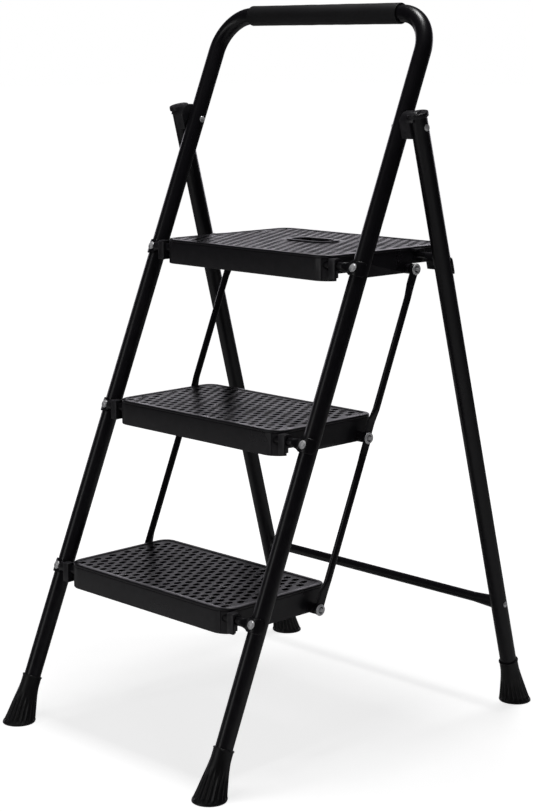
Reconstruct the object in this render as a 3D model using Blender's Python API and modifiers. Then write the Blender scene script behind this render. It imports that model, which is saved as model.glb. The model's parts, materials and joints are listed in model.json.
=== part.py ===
"""Three-step folding step stool with a hoop handrail and a gripped top bar.

Metres, +Z up, the user climbs towards +Y, the floor is Z = 0.
The front frame stands still; the rear frame and the three treads fold against it.
"""
import math

import bmesh
import bpy
from mathutils import Matrix, Vector

# Front frame: one bent tube that leans back over the steps.
TUBE_R = 0.0125
TUBE_WALL = 0.0012
FRONT_X = 0.2117
FRONT_Y0 = -0.3057
FRONT_SLOPE = 0.417
TOP_BAR_Z = 1.0455
BEND_R = 0.058
FRONT_LEAN = math.atan(FRONT_SLOPE)

# Rear frame: two straight legs that hang from the hinge, outside the front ones.
HINGE_Z = 0.8889
HINGE_Y = FRONT_Y0 + FRONT_SLOPE * HINGE_Z
REAR_X_HINGE = 0.2470
REAR_X_FLOOR = 0.2511
REAR_Y0 = 0.3057
REAR_LEAN = math.atan2(REAR_Y0 - HINGE_Y, HINGE_Z)
REAR_LENGTH = math.hypot(REAR_Y0 - HINGE_Y, HINGE_Z)
LOWER_BAR_Z = 0.1656
LOWER_BAR_R = 0.0075

# Steps: each tread turns about its cross tube and hangs from link rods at the back.
STEP_Z = {"low": 0.2290, "middle": 0.4640, "top": 0.6990}
STEP_TUBE_R = 0.00635
STEP_TUBE_OUT = 0.0155
TREAD_HALF_WIDTH = 0.1755
TREAD_TOP = 0.0138
TREAD_BOTTOM = -0.0228
TREAD_FRONT = -0.0105
TREAD_REAR = {"low": 0.190, "middle": 0.187, "top": 0.256}
TREAD_FRONT_CORNER = 0.028
TREAD_REAR_CORNER = 0.020
SKIRT_WALL = 0.0025
DECK = 0.0030
LINK_PIN = Vector((0.0, 0.1550, -0.0162))
LUG_R = 0.0055
LUG_X = (0.1705, 0.1872)

# Clips: a hook over the cross tube beside each end of a tread.
CLIP_X = (0.1735, 0.1858)
CLIP_SIDE_X = 0.1758
CLIP_FRONT = -0.0090
CLIP_WALL = 0.0040
CLIP_TOP = 0.0105
CLIP_BOTTOM = -0.0185
CLIP_R = 0.0107
CLIP_CORNER_BACK = 0.0060

# Top tread: hand hole in world Y, a shallower rear skirt and side hooks over the rests.
HAND_RIM_HALF = 0.044
HAND_RIM_Y = (0.082, 0.134)
HAND_RIM_CORNER = 0.022
HAND_RIM_HIGH = 0.0010
HAND_SLOT_INSET = 0.0080
HAND_SLOT_CORNER = 0.015
SHALLOW_FROM = 0.162
SHALLOW_BOTTOM = -0.010
HOOK_X = 0.1870
HOOK_WALL = 0.0040
HOOK_FRONT = 0.0090
HOOK_TOP = 0.0085
HOOK_DROP = 0.0100

# Link rods and their pins; an ear is (centre from the middle, half its thickness).
LINK_X = 0.1915
LINK_R = 0.0050
EAR_R = 0.0065
EAR_FLAT = 0.0095
EAR_LENGTH = 0.0340
INNER_EAR = (0.1889, 0.0010)
OUTER_EAR = (0.1912, 0.0010)
SINGLE_EAR = (0.1899, 0.0020)
WASHER_X = 0.1925
WASHER_R = 0.0085

# Hinge block, in the rear frame's leaning plane: its front face and the cap over the leg.
BLOCK_X = (FRONT_X + TUBE_R + 0.0006, 0.2430)
BLOCK_FRONT = -0.0162
BLOCK_BACK = 0.0150
BLOCK_BOTTOM = -0.0120
CAP_X = 0.2500
CAP_EDGE = 0.0105
CAP_R = 0.0130
CAP_LOBE_R = 0.0151
CAP_LOBE_TOP = 0.0215
REAR_LEG_TOP = 0.0146
LEG_END = 0.0125

# Rear rests: short arms on the rear legs that carry the top step.
REST_R = 0.0065
REST_Y = 0.1380
REST_Z = 0.7005
REST_SADDLE_Z = 0.6930
REST_X = 0.1770
NECK_R = 0.0045
NECK_X = 0.1995
NECK_BACK = 0.0015
NECK_RISE = 0.0017

# Fits.
GAP = 0.0003
SHANK_R = 0.0020
HINGE_SHANK_R = 0.0030
SADDLE_THICK = 0.0012
SADDLE_R = TUBE_R + GAP + SADDLE_THICK
SIDES = {"left": -1, "right": 1}
TUBE_SIDES_RESOLUTION = 6
ROUND = 20
RIVET_SIDES = 10
HOLE_SIDES = 8

parts = None
cutters = None
materials = {}


def clear_scene():
    for item in list(bpy.data.objects):
        bpy.data.objects.remove(item, do_unlink=True)


def make_collections():
    global parts, cutters
    parts = bpy.data.collections.new("folding_step_stool")
    cutters = bpy.data.collections.new("cutters")
    bpy.context.scene.collection.children.link(parts)
    bpy.context.scene.collection.children.link(cutters)


def make_material(name, colour, roughness, metallic):
    material = bpy.data.materials.new(name)
    material.use_nodes = True
    shader = material.node_tree.nodes["Principled BSDF"]
    shader.inputs["Base Color"].default_value = (*colour, 1.0)
    shader.inputs["Roughness"].default_value = roughness
    shader.inputs["Metallic"].default_value = metallic
    materials[name] = material


def make_materials():
    make_material("powder_coat", (0.012, 0.012, 0.014), 0.38, 0.0)
    make_material("tread_plastic", (0.020, 0.020, 0.022), 0.55, 0.0)
    make_material("clip_plastic", (0.040, 0.040, 0.042), 0.50, 0.0)
    make_material("hinge_plastic", (0.018, 0.018, 0.020), 0.45, 0.0)
    make_material("foot_rubber", (0.015, 0.015, 0.016), 0.60, 0.0)
    make_material("grip_foam", (0.012, 0.012, 0.013), 0.70, 0.0)
    make_material("rivet_steel", (0.72, 0.72, 0.73), 0.28, 1.0)


def make_empty(name, location, parent=None, rotation_x=0.0):
    empty = bpy.data.objects.new(name, None)
    empty.location = location
    empty.rotation_euler = (rotation_x, 0.0, 0.0)
    empty.parent = parent
    parts.objects.link(empty)
    return empty


def add_object(name, mesh, parent, location=(0, 0, 0), rotation=(0, 0, 0), material=None):
    """Add a part, or a hidden cutter when no material is given."""
    item = bpy.data.objects.new(name, mesh)
    item.location = location
    item.rotation_euler = rotation
    item.parent = parent
    if material is None:
        item.hide_render = True
        item.display_type = "WIRE"
        cutters.objects.link(item)
    else:
        mesh.materials.append(materials[material])
        parts.objects.link(item)
    return item


def finish_mesh(mesh):
    mesh.shade_smooth()
    mesh.set_sharp_from_angle(angle=math.radians(35))
    return mesh


def mesh_from_bmesh(name, shape):
    bmesh.ops.recalc_face_normals(shape, faces=shape.faces[:])
    mesh = bpy.data.meshes.new(name)
    shape.to_mesh(mesh)
    shape.free()
    return finish_mesh(mesh)


def mesh_from_curve(name, curve, weld):
    """Evaluate a curve to a mesh and drop the curve object."""
    holder = bpy.data.objects.new(name + "_curve", curve)
    bpy.context.scene.collection.objects.link(holder)
    graph = bpy.context.evaluated_depsgraph_get()
    mesh = bpy.data.meshes.new_from_object(holder.evaluated_get(graph))
    bpy.data.objects.remove(holder, do_unlink=True)
    mesh.materials.clear()
    if weld:
        shape = bmesh.new()
        shape.from_mesh(mesh)
        bmesh.ops.remove_doubles(shape, verts=shape.verts[:], dist=0.00001)
        shape.to_mesh(mesh)
        shape.free()
    mesh.name = name
    return finish_mesh(mesh)


def path_tube_mesh(name, points, radius):
    """A round tube surface along straight spans between points."""
    curve = bpy.data.curves.new(name, "CURVE")
    curve.dimensions = "3D"
    curve.bevel_depth = radius
    curve.bevel_resolution = TUBE_SIDES_RESOLUTION
    spline = curve.splines.new("POLY")
    spline.points.add(len(points) - 1)
    for point, place in zip(spline.points, points):
        point.co = (*place, 1.0)
    return mesh_from_curve(name, curve, weld=False)


def outline_mesh(name, outline, low, high):
    """A flat outline in XY, filled and raised from low to high."""
    curve = bpy.data.curves.new(name, "CURVE")
    curve.dimensions = "2D"
    curve.fill_mode = "BOTH"
    curve.extrude = (high - low) / 2
    spline = curve.splines.new("POLY")
    spline.points.add(len(outline) - 1)
    for point, (x, y) in zip(spline.points, outline):
        point.co = (x, y, 0.0, 1.0)
    spline.use_cyclic_u = True
    mesh = mesh_from_curve(name, curve, weld=True)
    mesh.transform(Matrix.Translation((0, 0, (high + low) / 2)))
    return mesh


def cylinder_mesh(name, radius, start, end, segments=ROUND):
    """A capped cylinder between two points."""
    start = Vector(start)
    end = Vector(end)
    axis = end - start
    turn = axis.to_track_quat("Z", "Y").to_matrix().to_4x4()
    place = Matrix.Translation((start + end) / 2) @ turn
    shape = bmesh.new()
    bmesh.ops.create_cone(
        shape, cap_ends=True, segments=segments, radius1=radius, radius2=radius,
        depth=axis.length, matrix=place)
    return mesh_from_bmesh(name, shape)


def box_mesh(name, low, high, bevel=0.0):
    low = Vector(low)
    high = Vector(high)
    size = high - low
    place = Matrix.Translation((low + high) / 2) @ Matrix.Diagonal((*size, 1.0))
    shape = bmesh.new()
    bmesh.ops.create_cube(shape, size=1.0, matrix=place)
    if bevel:
        bmesh.ops.bevel(shape, geom=shape.edges[:], offset=bevel, segments=2, profile=0.5,
                        affect="EDGES")
    return mesh_from_bmesh(name, shape)


def loft_mesh(name, rings):
    """Skin a row of rings of equal count and close both ends."""
    shape = bmesh.new()
    rows = [[shape.verts.new(point) for point in ring] for ring in rings]
    count = len(rows[0])
    for row, following in zip(rows, rows[1:]):
        for i in range(count):
            j = (i + 1) % count
            shape.faces.new((row[i], row[j], following[j], following[i]))
    shape.faces.new(rows[0])
    shape.faces.new(rows[-1])
    return mesh_from_bmesh(name, shape)


def turned(name, profile, parent, location, rotation, material, steps=ROUND):
    """A turned part: the profile is (radius, height), outer side first, top to bottom."""
    mesh = bpy.data.meshes.new(name)
    points = [(radius, 0.0, height) for radius, height in profile]
    edges = [(i, i + 1) for i in range(len(points) - 1)]
    if profile[0][0] > 0:
        edges.append((len(points) - 1, 0))
    mesh.from_pydata(points, edges, [])
    item = add_object(name, mesh, parent, location, rotation, material)
    screw = item.modifiers.new("Turn", "SCREW")
    screw.axis = "Z"
    screw.angle = math.tau
    screw.steps = steps
    screw.render_steps = steps
    screw.use_merge_vertices = True
    screw.merge_threshold = 0.00005
    screw.use_smooth_shade = True
    return item


def cut(item, cutter):
    change = item.modifiers.new("Cut " + cutter.name, "BOOLEAN")
    change.operation = "DIFFERENCE"
    change.object = cutter


def join(item, other):
    change = item.modifiers.new("Join " + other.name, "BOOLEAN")
    change.operation = "UNION"
    change.object = other


def arc(centre, radius, start, end, steps):
    """Points on an arc in a plane, with both ends, angles in degrees."""
    points = []
    for i in range(steps + 1):
        angle = math.radians(start + (end - start) * i / steps)
        points.append((centre[0] + radius * math.cos(angle), centre[1] + radius * math.sin(angle)))
    return points


def rounded_outline(x0, x1, y0, y1, low_radius, high_radius, steps=6):
    """A rectangle with one corner radius along y0 and another along y1."""
    outline = arc((x1 - low_radius, y0 + low_radius), low_radius, -90, 0, steps)
    outline += arc((x1 - high_radius, y1 - high_radius), high_radius, 0, 90, steps)
    outline += arc((x0 + high_radius, y1 - high_radius), high_radius, 90, 180, steps)
    outline += arc((x0 + low_radius, y0 + low_radius), low_radius, 180, 270, steps)
    return outline


def oval(half_a, half_b, squareness, count=12):
    """A section between an ellipse (1) and a rounded slab (towards 0)."""
    points = []
    for i in range(count):
        angle = math.tau * i / count
        c = math.cos(angle)
        s = math.sin(angle)
        a = math.copysign(abs(c) ** squareness, c) * half_a
        b = math.copysign(abs(s) ** squareness, s) * half_b
        points.append((a, b))
    return points


def hollow(item):
    """Give an open tube surface its wall, grown inwards."""
    wall = item.modifiers.new("Wall", "SOLIDIFY")
    wall.thickness = TUBE_WALL
    wall.offset = -1.0
    wall.use_rim = True


def front_point(height):
    """The point on the front leg's centre plane at a height."""
    return Vector((0, FRONT_Y0 + FRONT_SLOPE * height, height))


def step_point(step):
    """The axis of a step's cross tube, in front of the front legs."""
    reach = STEP_TUBE_OUT / math.cos(FRONT_LEAN)
    return front_point(STEP_Z[step]) + Vector((0, -reach, 0))


def along_front_frame(step):
    """A step tube's place along the leaning frame."""
    return (STEP_Z[step] - STEP_TUBE_OUT * math.sin(FRONT_LEAN)) / math.cos(FRONT_LEAN)


def rear_leg_x(along):
    """Half the rear legs' spread at a distance down from the hinge."""
    return REAR_X_HINGE + (REAR_X_FLOOR - REAR_X_HINGE) * along / REAR_LENGTH


# ---------------------------------------------------------------- front frame

def front_frame_tube(plane, hinge_holes, rivet_holes):
    top = TOP_BAR_Z / math.cos(FRONT_LEAN)
    bend_x = FRONT_X - BEND_R
    bend_z = top - BEND_R
    points = [(FRONT_X, LEG_END)]
    points += arc((bend_x, bend_z), BEND_R, 0, 90, 7)
    points += arc((-bend_x, bend_z), BEND_R, 90, 180, 7)
    points += [(-FRONT_X, LEG_END)]
    mesh = path_tube_mesh("front_frame_tube", [(x, 0.0, z) for x, z in points], TUBE_R)
    tube = add_object("front_frame_tube", mesh, plane, material="powder_coat")
    hollow(tube)
    for hole in hinge_holes + rivet_holes:
        cut(tube, hole)


def handle_grip(plane):
    half = 0.152
    bore = TUBE_R + 0.0004
    profile = [
        (bore, half), (0.0142, half), (0.0149, half - 0.001), (0.0152, half - 0.004),
        (0.0152, 0.004 - half), (0.0149, 0.001 - half), (0.0142, -half), (bore, -half)]
    top = TOP_BAR_Z / math.cos(FRONT_LEAN)
    turned("handle_grip", profile, plane, (0, 0, top), (0, math.pi / 2, 0), "grip_foam")


def foot(name, parent, floor_place, axis):
    """A floor cap: flat on the floor, its neck and socket along the leg."""
    axis = axis.normalized()
    rows = [
        (0.0000, 0.0236, 0.00), (0.0010, 0.0246, 0.00), (0.0070, 0.0245, 0.10),
        (0.0090, 0.0236, 0.15), (0.0300, 0.0192, 0.60), (0.0540, 0.0148, 1.00),
        (0.0710, 0.0143, 1.00),
        (0.0720, 0.0128, 1.00), (0.0120, 0.0128, 1.00)]
    rings = []
    for along, radius, tilt in rows:
        normal = Vector((0, 0, 1)).lerp(axis, tilt).normalized()
        across = Vector((1, 0, 0))
        forward = normal.cross(across).normalized()
        centre = axis * along
        ring = []
        for i in range(ROUND):
            angle = math.tau * i / ROUND
            ring.append(centre + radius * (across * math.cos(angle) + forward * math.sin(angle)))
        rings.append(ring)
    place = parent.matrix_world.inverted() @ Vector(floor_place)
    item = add_object(name, loft_mesh(name, rings), parent, place, material="foot_rubber")
    turn = parent.matrix_world.to_euler()
    item.rotation_euler = (-turn.x, 0.0, 0.0)


def saddle_rings(path):
    """Rings for a tube end that flattens and wraps a leg.

    Each row of the path: (x, out, shift, half thickness, half height, squareness, turn).
    """
    rings = []
    for x, out, shift, half_a, half_b, squareness, turn in path:
        angle = math.radians(turn)
        ring = []
        for a, b in oval(half_a, half_b, squareness):
            ring.append(Vector((x + a * math.sin(angle), -out - a * math.cos(angle), shift + b)))
        rings.append(ring)
    return rings


def saddle_wrap(leg_x, height, last_turn, shift=0.0):
    """Rows that carry a flattened end round the outer side of a leg."""
    rows = []
    steps = 5
    for i in range(1, steps + 1):
        turn = last_turn * i / steps
        angle = math.radians(turn)
        half_height = height * (0.8 if i == steps else 1.0)
        rows.append((leg_x + SADDLE_R * math.sin(angle), SADDLE_R * math.cos(angle), shift,
                     SADDLE_THICK, half_height, 0.45, turn))
    return rows


def mirrored(path):
    """The same rows on the other side, in reverse, so both halves make one path."""
    return [(-x, out, shift, a, b, squareness, -turn)
            for x, out, shift, a, b, squareness, turn in reversed(path)]


def step_tube(step, plane, rivet_holes):
    half = [
        (0.1920, STEP_TUBE_OUT, 0, STEP_TUBE_R, STEP_TUBE_R, 1.0, 0),
        (0.1965, 0.0150, 0, 0.0046, 0.0078, 0.80, 0),
        (0.2010, 0.0144, 0, 0.0026, 0.0094, 0.60, 0),
        (0.2045, SADDLE_R, 0, SADDLE_THICK, 0.0105, 0.50, 0),
        (FRONT_X, SADDLE_R, 0, SADDLE_THICK, 0.0105, 0.45, 0)]
    half += saddle_wrap(FRONT_X, 0.0105, 75)
    name = "step_tube_" + step
    place = (0, 0, along_front_frame(step))
    mesh = loft_mesh(name, saddle_rings(mirrored(half) + half))
    tube = add_object(name, mesh, plane, place, material="powder_coat")
    bore_mesh = cylinder_mesh(
        name + "_bore", STEP_TUBE_R - TUBE_WALL, (-0.178, -STEP_TUBE_OUT, 0),
        (0.178, -STEP_TUBE_OUT, 0), HOLE_SIDES)
    drain_mesh = cylinder_mesh(
        name + "_drain", 0.0015, (0, -STEP_TUBE_OUT, 0), (0, 0, -0.006), 6)
    cut(tube, add_object(name + "_bore", bore_mesh, plane, place))
    cut(tube, add_object(name + "_drain", drain_mesh, plane, place))
    for hole in rivet_holes:
        cut(tube, hole)


def rivet_profile(head_r, head_h, shank, tail_r, tail_h, shank_r=SHANK_R, collar=0.0):
    """A domed rivet: its head's underside is at height 0 and the shank hangs below."""
    profile = [(0.0, head_h), (head_r * 0.55, head_h * 0.86), (head_r * 0.90, head_h * 0.45),
               (head_r, max(collar, 0.0003))]
    if collar:
        profile += [(head_r + 0.0010, collar), (head_r + 0.0010, 0.0)]
    else:
        profile += [(head_r, 0.0)]
    profile += [(shank_r, 0.0), (shank_r, -shank), (tail_r, -shank), (tail_r, -shank - tail_h),
                (0.0, -shank - tail_h)]
    return profile


def front_frame():
    plane = make_empty("front_frame_plane", (0, FRONT_Y0, 0), rotation_x=-FRONT_LEAN)
    bpy.context.view_layer.update()
    hinge_along = HINGE_Z / math.cos(FRONT_LEAN)
    hinge_mesh = cylinder_mesh(
        "hinge_hole_front", HINGE_SHANK_R + GAP, (-0.25, 0, hinge_along), (0.25, 0, hinge_along),
        RIVET_SIDES)
    hinge_hole = add_object("hinge_hole_front", hinge_mesh, plane)
    all_holes = []
    for step in STEP_Z:
        step_holes = []
        for side, sign in SIDES.items():
            name = f"rivet_hole_{step}_{side}"
            place = Vector((sign * FRONT_X, 0, along_front_frame(step)))
            reach = Vector((0, 0.03, 0))
            mesh = cylinder_mesh(name, SHANK_R + GAP, place - reach, place + reach,
                                 HOLE_SIDES)
            step_holes.append(add_object(name, mesh, plane))
            head = place + Vector((0, -SADDLE_R - SADDLE_THICK - GAP, 0))
            shank = 2 * TUBE_R + 2 * SADDLE_THICK + 3 * GAP
            turned(f"step_tube_rivet_{step}_{side}",
                   rivet_profile(0.0056, 0.0032, shank, 0.0040, 0.0010, collar=0.0006),
                   plane, head, (math.pi / 2, 0, 0), "rivet_steel", RIVET_SIDES)
        step_tube(step, plane, step_holes)
        all_holes += step_holes
    front_frame_tube(plane, [hinge_hole], all_holes)
    handle_grip(plane)
    axis = Vector((0, math.sin(FRONT_LEAN), math.cos(FRONT_LEAN)))
    for side, sign in SIDES.items():
        foot("front_foot_" + side, plane, (sign * FRONT_X, FRONT_Y0, 0), axis)
        hinge_rivet(side, sign, plane, hinge_along)


def hinge_rivet(side, sign, plane, along):
    """The hinge axle: its head is outside the rear leg, its tail inside the front leg."""
    head_x = REAR_X_HINGE + TUBE_R + 2 * GAP
    tail_x = FRONT_X - TUBE_R - GAP
    profile = rivet_profile(0.0048, 0.0026, head_x - tail_x, 0.0048, 0.0020, HINGE_SHANK_R)
    turned("hinge_rivet_" + side, profile, plane, (sign * head_x, 0, along),
           (0, sign * math.pi / 2, 0), "rivet_steel", RIVET_SIDES)


# ----------------------------------------------------------------- rear frame

def rear_leg(side, sign, plane, holes):
    bottom = LEG_END - REAR_LENGTH
    points = [(sign * rear_leg_x(-REAR_LEG_TOP), 0, REAR_LEG_TOP),
              (sign * rear_leg_x(-bottom), 0, bottom)]
    name = "rear_leg_" + side
    tube = add_object(name, path_tube_mesh(name, points, TUBE_R), plane, material="powder_coat")
    hollow(tube)
    for hole in holes:
        cut(tube, hole)


def rear_lower_bar(plane, leg_cutters, rivet_holes):
    along = (HINGE_Z - LOWER_BAR_Z) / math.cos(REAR_LEAN)
    end = rear_leg_x(along) - 0.006
    half = [
        (end - 0.042, 0, 0, LOWER_BAR_R, LOWER_BAR_R, 1.0, 0),
        (end - 0.022, 0, 0, LOWER_BAR_R, 0.0086, 0.95, 0),
        (end, 0, 0, LOWER_BAR_R, 0.0105, 0.85, 0)]
    place = (0, 0, -along)
    mesh = loft_mesh("rear_lower_bar", saddle_rings(mirrored(half) + half))
    bar = add_object("rear_lower_bar", mesh, plane, place, material="powder_coat")
    bore_mesh = cylinder_mesh(
        "lower_bar_bore", LOWER_BAR_R - TUBE_WALL, (-0.195, 0, 0), (0.195, 0, 0), HOLE_SIDES)
    drain_mesh = cylinder_mesh("lower_bar_drain", 0.0015, (0, 0, 0), (0, 0, -0.02), 6)
    cut(bar, add_object("lower_bar_bore", bore_mesh, plane, place))
    cut(bar, add_object("lower_bar_drain", drain_mesh, plane, place))
    for cutter in leg_cutters + rivet_holes:
        cut(bar, cutter)


def rear_rest(side, sign, plane, hole):
    """An arm with a thin neck for the top step's hook, flattened onto the rear leg's back."""
    peg = Vector((0, REST_Y - HINGE_Y, REST_Z - HINGE_Z))
    peg_out = peg.y * math.cos(REAR_LEAN) + peg.z * math.sin(REAR_LEAN)
    peg_along = peg.z * math.cos(REAR_LEAN) - peg.y * math.sin(REAR_LEAN)
    saddle_along = rest_saddle_along()
    drop = saddle_along - peg_along
    leg_x = rear_leg_x(-saddle_along)
    path = [
        (REST_X, peg_out + NECK_BACK, NECK_RISE, NECK_R - 0.0008, NECK_R - 0.0008, 1.0, 0),
        (REST_X + 0.0008, peg_out + NECK_BACK, NECK_RISE, NECK_R, NECK_R, 1.0, 0),
        (NECK_X, peg_out + NECK_BACK, NECK_RISE, NECK_R, NECK_R, 1.0, 0),
        (NECK_X + 0.0020, peg_out, 0, REST_R, REST_R, 1.0, 0),
        (0.2050, peg_out, 0, REST_R, REST_R, 1.0, 0),
        (0.2150, 0.0190, drop * 0.4, 0.0045, 0.0090, 0.80, 0),
        (0.2280, 0.0162, drop * 0.9, 0.0024, 0.0112, 0.55, 0),
        (0.2380, 0.0145, drop, 0.0014, 0.0120, 0.45, 0),
        (leg_x, SADDLE_R, drop, SADDLE_THICK, 0.0120, 0.45, 0)]
    path += saddle_wrap(leg_x, 0.0120, 50, drop)
    rings = saddle_rings(path)
    place = Matrix.Diagonal((sign, -1, 1, 1))
    rings = [[place @ point for point in ring] for ring in rings]
    name = "rear_rest_" + side
    rest = add_object(name, loft_mesh(name, rings), plane, (0, 0, peg_along),
                      material="powder_coat")
    cut(rest, hole)


def rest_neck():
    """The world place of the neck that the top step's hook drops over."""
    rise = NECK_RISE * math.cos(REAR_LEAN) + NECK_BACK * math.sin(REAR_LEAN)
    back = NECK_BACK * math.cos(REAR_LEAN) - NECK_RISE * math.sin(REAR_LEAN)
    return Vector((0, REST_Y + back, REST_Z + rise))


def rest_saddle_along():
    """The rest saddle's place on the rear leg, as a height in the rear plane."""
    return (REST_SADDLE_Z - HINGE_Z - SADDLE_R * math.sin(REAR_LEAN)) / math.cos(REAR_LEAN)


def hinge_bracket(side, sign, plane, leg_cutter, hinge_hole):
    """A moulded block that spaces the rear leg from the front leg and caps its top."""
    outline = [(BLOCK_FRONT, BLOCK_BOTTOM)]
    outline += arc((BLOCK_FRONT + CAP_R, CAP_EDGE), CAP_R, 180, 75, 7)
    outline += arc((BLOCK_BACK - 0.0050, 0.0150), 0.0050, 75, 0, 3)
    outline += [(BLOCK_BACK, BLOCK_BOTTOM + 0.004), (BLOCK_BACK - 0.004, BLOCK_BOTTOM)]
    name = "hinge_bracket_" + side
    mesh = outline_mesh(name, outline, BLOCK_X[0], CAP_X)
    mesh.transform(Matrix(((0, 0, sign, 0), (1, 0, 0, 0), (0, 1, 0, 0), (0, 0, 0, 1))))
    if sign < 0:
        mesh.flip_normals()
    bracket = add_object(name, mesh, plane, material="hinge_plastic")
    top_x = sign * rear_leg_x(-CAP_LOBE_TOP)
    lobe = cylinder_mesh(name + "_lobe", CAP_LOBE_R, (top_x, 0, REAR_LEG_TOP + GAP),
                         (top_x, 0, CAP_LOBE_TOP))
    join(bracket, add_object(name + "_lobe", lobe, plane))
    open_x = sorted((sign * BLOCK_X[1], sign * 0.2700))
    opening = box_mesh(name + "_opening", (open_x[0], -0.04, -0.04), (open_x[1], 0.04, CAP_EDGE))
    cut(bracket, add_object(name + "_opening", opening, plane))
    cut(bracket, leg_cutter)
    cut(bracket, hinge_hole)


def side_cylinder(name, radius, x_from, x_to, parent, along, segments=HOLE_SIDES):
    """A hidden cylinder along X in a leg plane."""
    mesh = cylinder_mesh(name, radius, (x_from, 0, along), (x_to, 0, along), segments)
    return add_object(name, mesh, parent)


def rear_frame():
    pivot = make_empty("rear_frame_pivot", (0, HINGE_Y, HINGE_Z))
    plane = make_empty("rear_frame_plane", (0, 0, 0), pivot, REAR_LEAN)
    bpy.context.view_layer.update()
    hinge_hole = side_cylinder("hinge_hole_rear", HINGE_SHANK_R + GAP, -0.28, 0.28, plane, 0,
                                 RIVET_SIDES)
    bar_along = (HINGE_Z - LOWER_BAR_Z) / math.cos(REAR_LEAN)
    saddle_along = rest_saddle_along()
    leg_cutters = []
    bar_holes = []
    for side, sign in SIDES.items():
        axis = Vector((sign * (REAR_X_HINGE - REAR_X_FLOOR), HINGE_Y - REAR_Y0, HINGE_Z))
        start = (sign * rear_leg_x(REAR_LENGTH), 0, -REAR_LENGTH)
        top = REAR_LEG_TOP + GAP
        end = (sign * rear_leg_x(-top), 0, top)
        cutter_mesh = cylinder_mesh("leg_clearance_" + side, TUBE_R + GAP, start, end, 24)
        leg_cutter = add_object("leg_clearance_" + side, cutter_mesh, plane)
        leg_cutters.append(leg_cutter)

        bar_x = rear_leg_x(bar_along)
        bar_hole = side_cylinder("bar_rivet_hole_" + side, SHANK_R + GAP, sign * (bar_x + 0.03),
                                 sign * (bar_x - 0.0285), plane, -bar_along)
        bar_holes.append(bar_hole)
        head_x = bar_x + TUBE_R + GAP
        turned("lower_bar_rivet_" + side, rivet_profile(0.0042, 0.0020, 0.038, SHANK_R, 0.001),
               plane, (sign * head_x, 0, -bar_along), (0, sign * math.pi / 2, 0),
               "rivet_steel", RIVET_SIDES)

        leg_x = sign * rear_leg_x(-saddle_along)
        name = "rest_rivet_hole_" + side
        hole_mesh = cylinder_mesh(name, SHANK_R + GAP, (leg_x, 0, saddle_along),
                                  (leg_x, 0.03, saddle_along), HOLE_SIDES)
        rest_hole = add_object(name, hole_mesh, plane)
        turned("rest_rivet_" + side, rivet_profile(0.0045, 0.0020, 0.0062, 0.0033, 0.0012),
               plane, (leg_x, SADDLE_R + SADDLE_THICK + GAP, saddle_along),
               (-math.pi / 2, 0, 0), "rivet_steel", RIVET_SIDES)

        rear_leg(side, sign, plane, [hinge_hole, bar_hole, rest_hole])
        rear_rest(side, sign, plane, rest_hole)
        hinge_bracket(side, sign, plane, leg_cutter, hinge_hole)
        foot("rear_foot_" + side, pivot, (sign * REAR_X_FLOOR, REAR_Y0, 0), axis)
    rear_lower_bar(plane, leg_cutters, bar_holes)


# ---------------------------------------------------------------------- steps

def tread(step, pivot):
    """A moulded tray: deck and skirt, turned upside down over its cross tube."""
    name = "tread_" + step
    rear = TREAD_REAR[step]
    wall = SKIRT_WALL
    outer = rounded_outline(-TREAD_HALF_WIDTH, TREAD_HALF_WIDTH, TREAD_FRONT, rear,
                            TREAD_FRONT_CORNER, TREAD_REAR_CORNER)
    inner = rounded_outline(-TREAD_HALF_WIDTH + wall, TREAD_HALF_WIDTH - wall,
                            TREAD_FRONT + wall, rear - wall,
                            TREAD_FRONT_CORNER - wall, TREAD_REAR_CORNER - wall)
    body = add_object(name, outline_mesh(name, outer, TREAD_BOTTOM, TREAD_TOP), pivot,
                      material="tread_plastic")
    space = outline_mesh(name + "_space", inner, TREAD_BOTTOM - 0.01, TREAD_TOP - DECK)
    cut(body, add_object(name + "_space", space, pivot))
    for side, sign in SIDES.items():
        start = LINK_PIN + Vector((sign * LUG_X[0], 0, 0))
        end = LINK_PIN + Vector((sign * LUG_X[1], 0, 0))
        lug = cylinder_mesh(f"{name}_lug_{side}", LUG_R, start, end, 16)
        join(body, add_object(f"{name}_lug_{side}", lug, pivot))
        if step == "top":
            top_step_hook(body, side, sign, pivot)
    bores = [("tube_hole", STEP_TUBE_R + 0.0007, (0.0, 0.0)),
             ("pin_hole", SHANK_R + GAP, (LINK_PIN.y, LINK_PIN.z))]
    for label, radius, (y, z) in bores:
        mesh = cylinder_mesh(f"{name}_{label}", radius, (-0.2, y, z), (0.2, y, z), 10)
        cut(body, add_object(f"{name}_{label}", mesh, pivot))
    if step == "top":
        hand_hole(body, pivot)
        rear_cut = box_mesh(name + "_rear_cut", (-0.2, SHALLOW_FROM, -0.05),
                            (0.2, 0.3, SHALLOW_BOTTOM))
        cut(body, add_object(name + "_rear_cut", rear_cut, pivot))


def hand_hole(body, pivot):
    """The carrying slot in the top deck, with its raised rim."""
    shift = -step_point("top").y
    low = HAND_RIM_Y[0] + shift
    high = HAND_RIM_Y[1] + shift
    inset = HAND_SLOT_INSET
    rim = rounded_outline(-HAND_RIM_HALF, HAND_RIM_HALF, low, high,
                          HAND_RIM_CORNER, HAND_RIM_CORNER, 5)
    slot = rounded_outline(inset - HAND_RIM_HALF, HAND_RIM_HALF - inset, low + inset,
                           high - inset, HAND_SLOT_CORNER, HAND_SLOT_CORNER, 5)
    rim_mesh = outline_mesh("hand_hole_rim", rim, TREAD_TOP - DECK / 2, TREAD_TOP + HAND_RIM_HIGH)
    slot_mesh = outline_mesh("hand_hole_slot", slot, TREAD_TOP - 0.02, TREAD_TOP + 0.02)
    join(body, add_object("hand_hole_rim", rim_mesh, pivot))
    cut(body, add_object("hand_hole_slot", slot_mesh, pivot))


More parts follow.
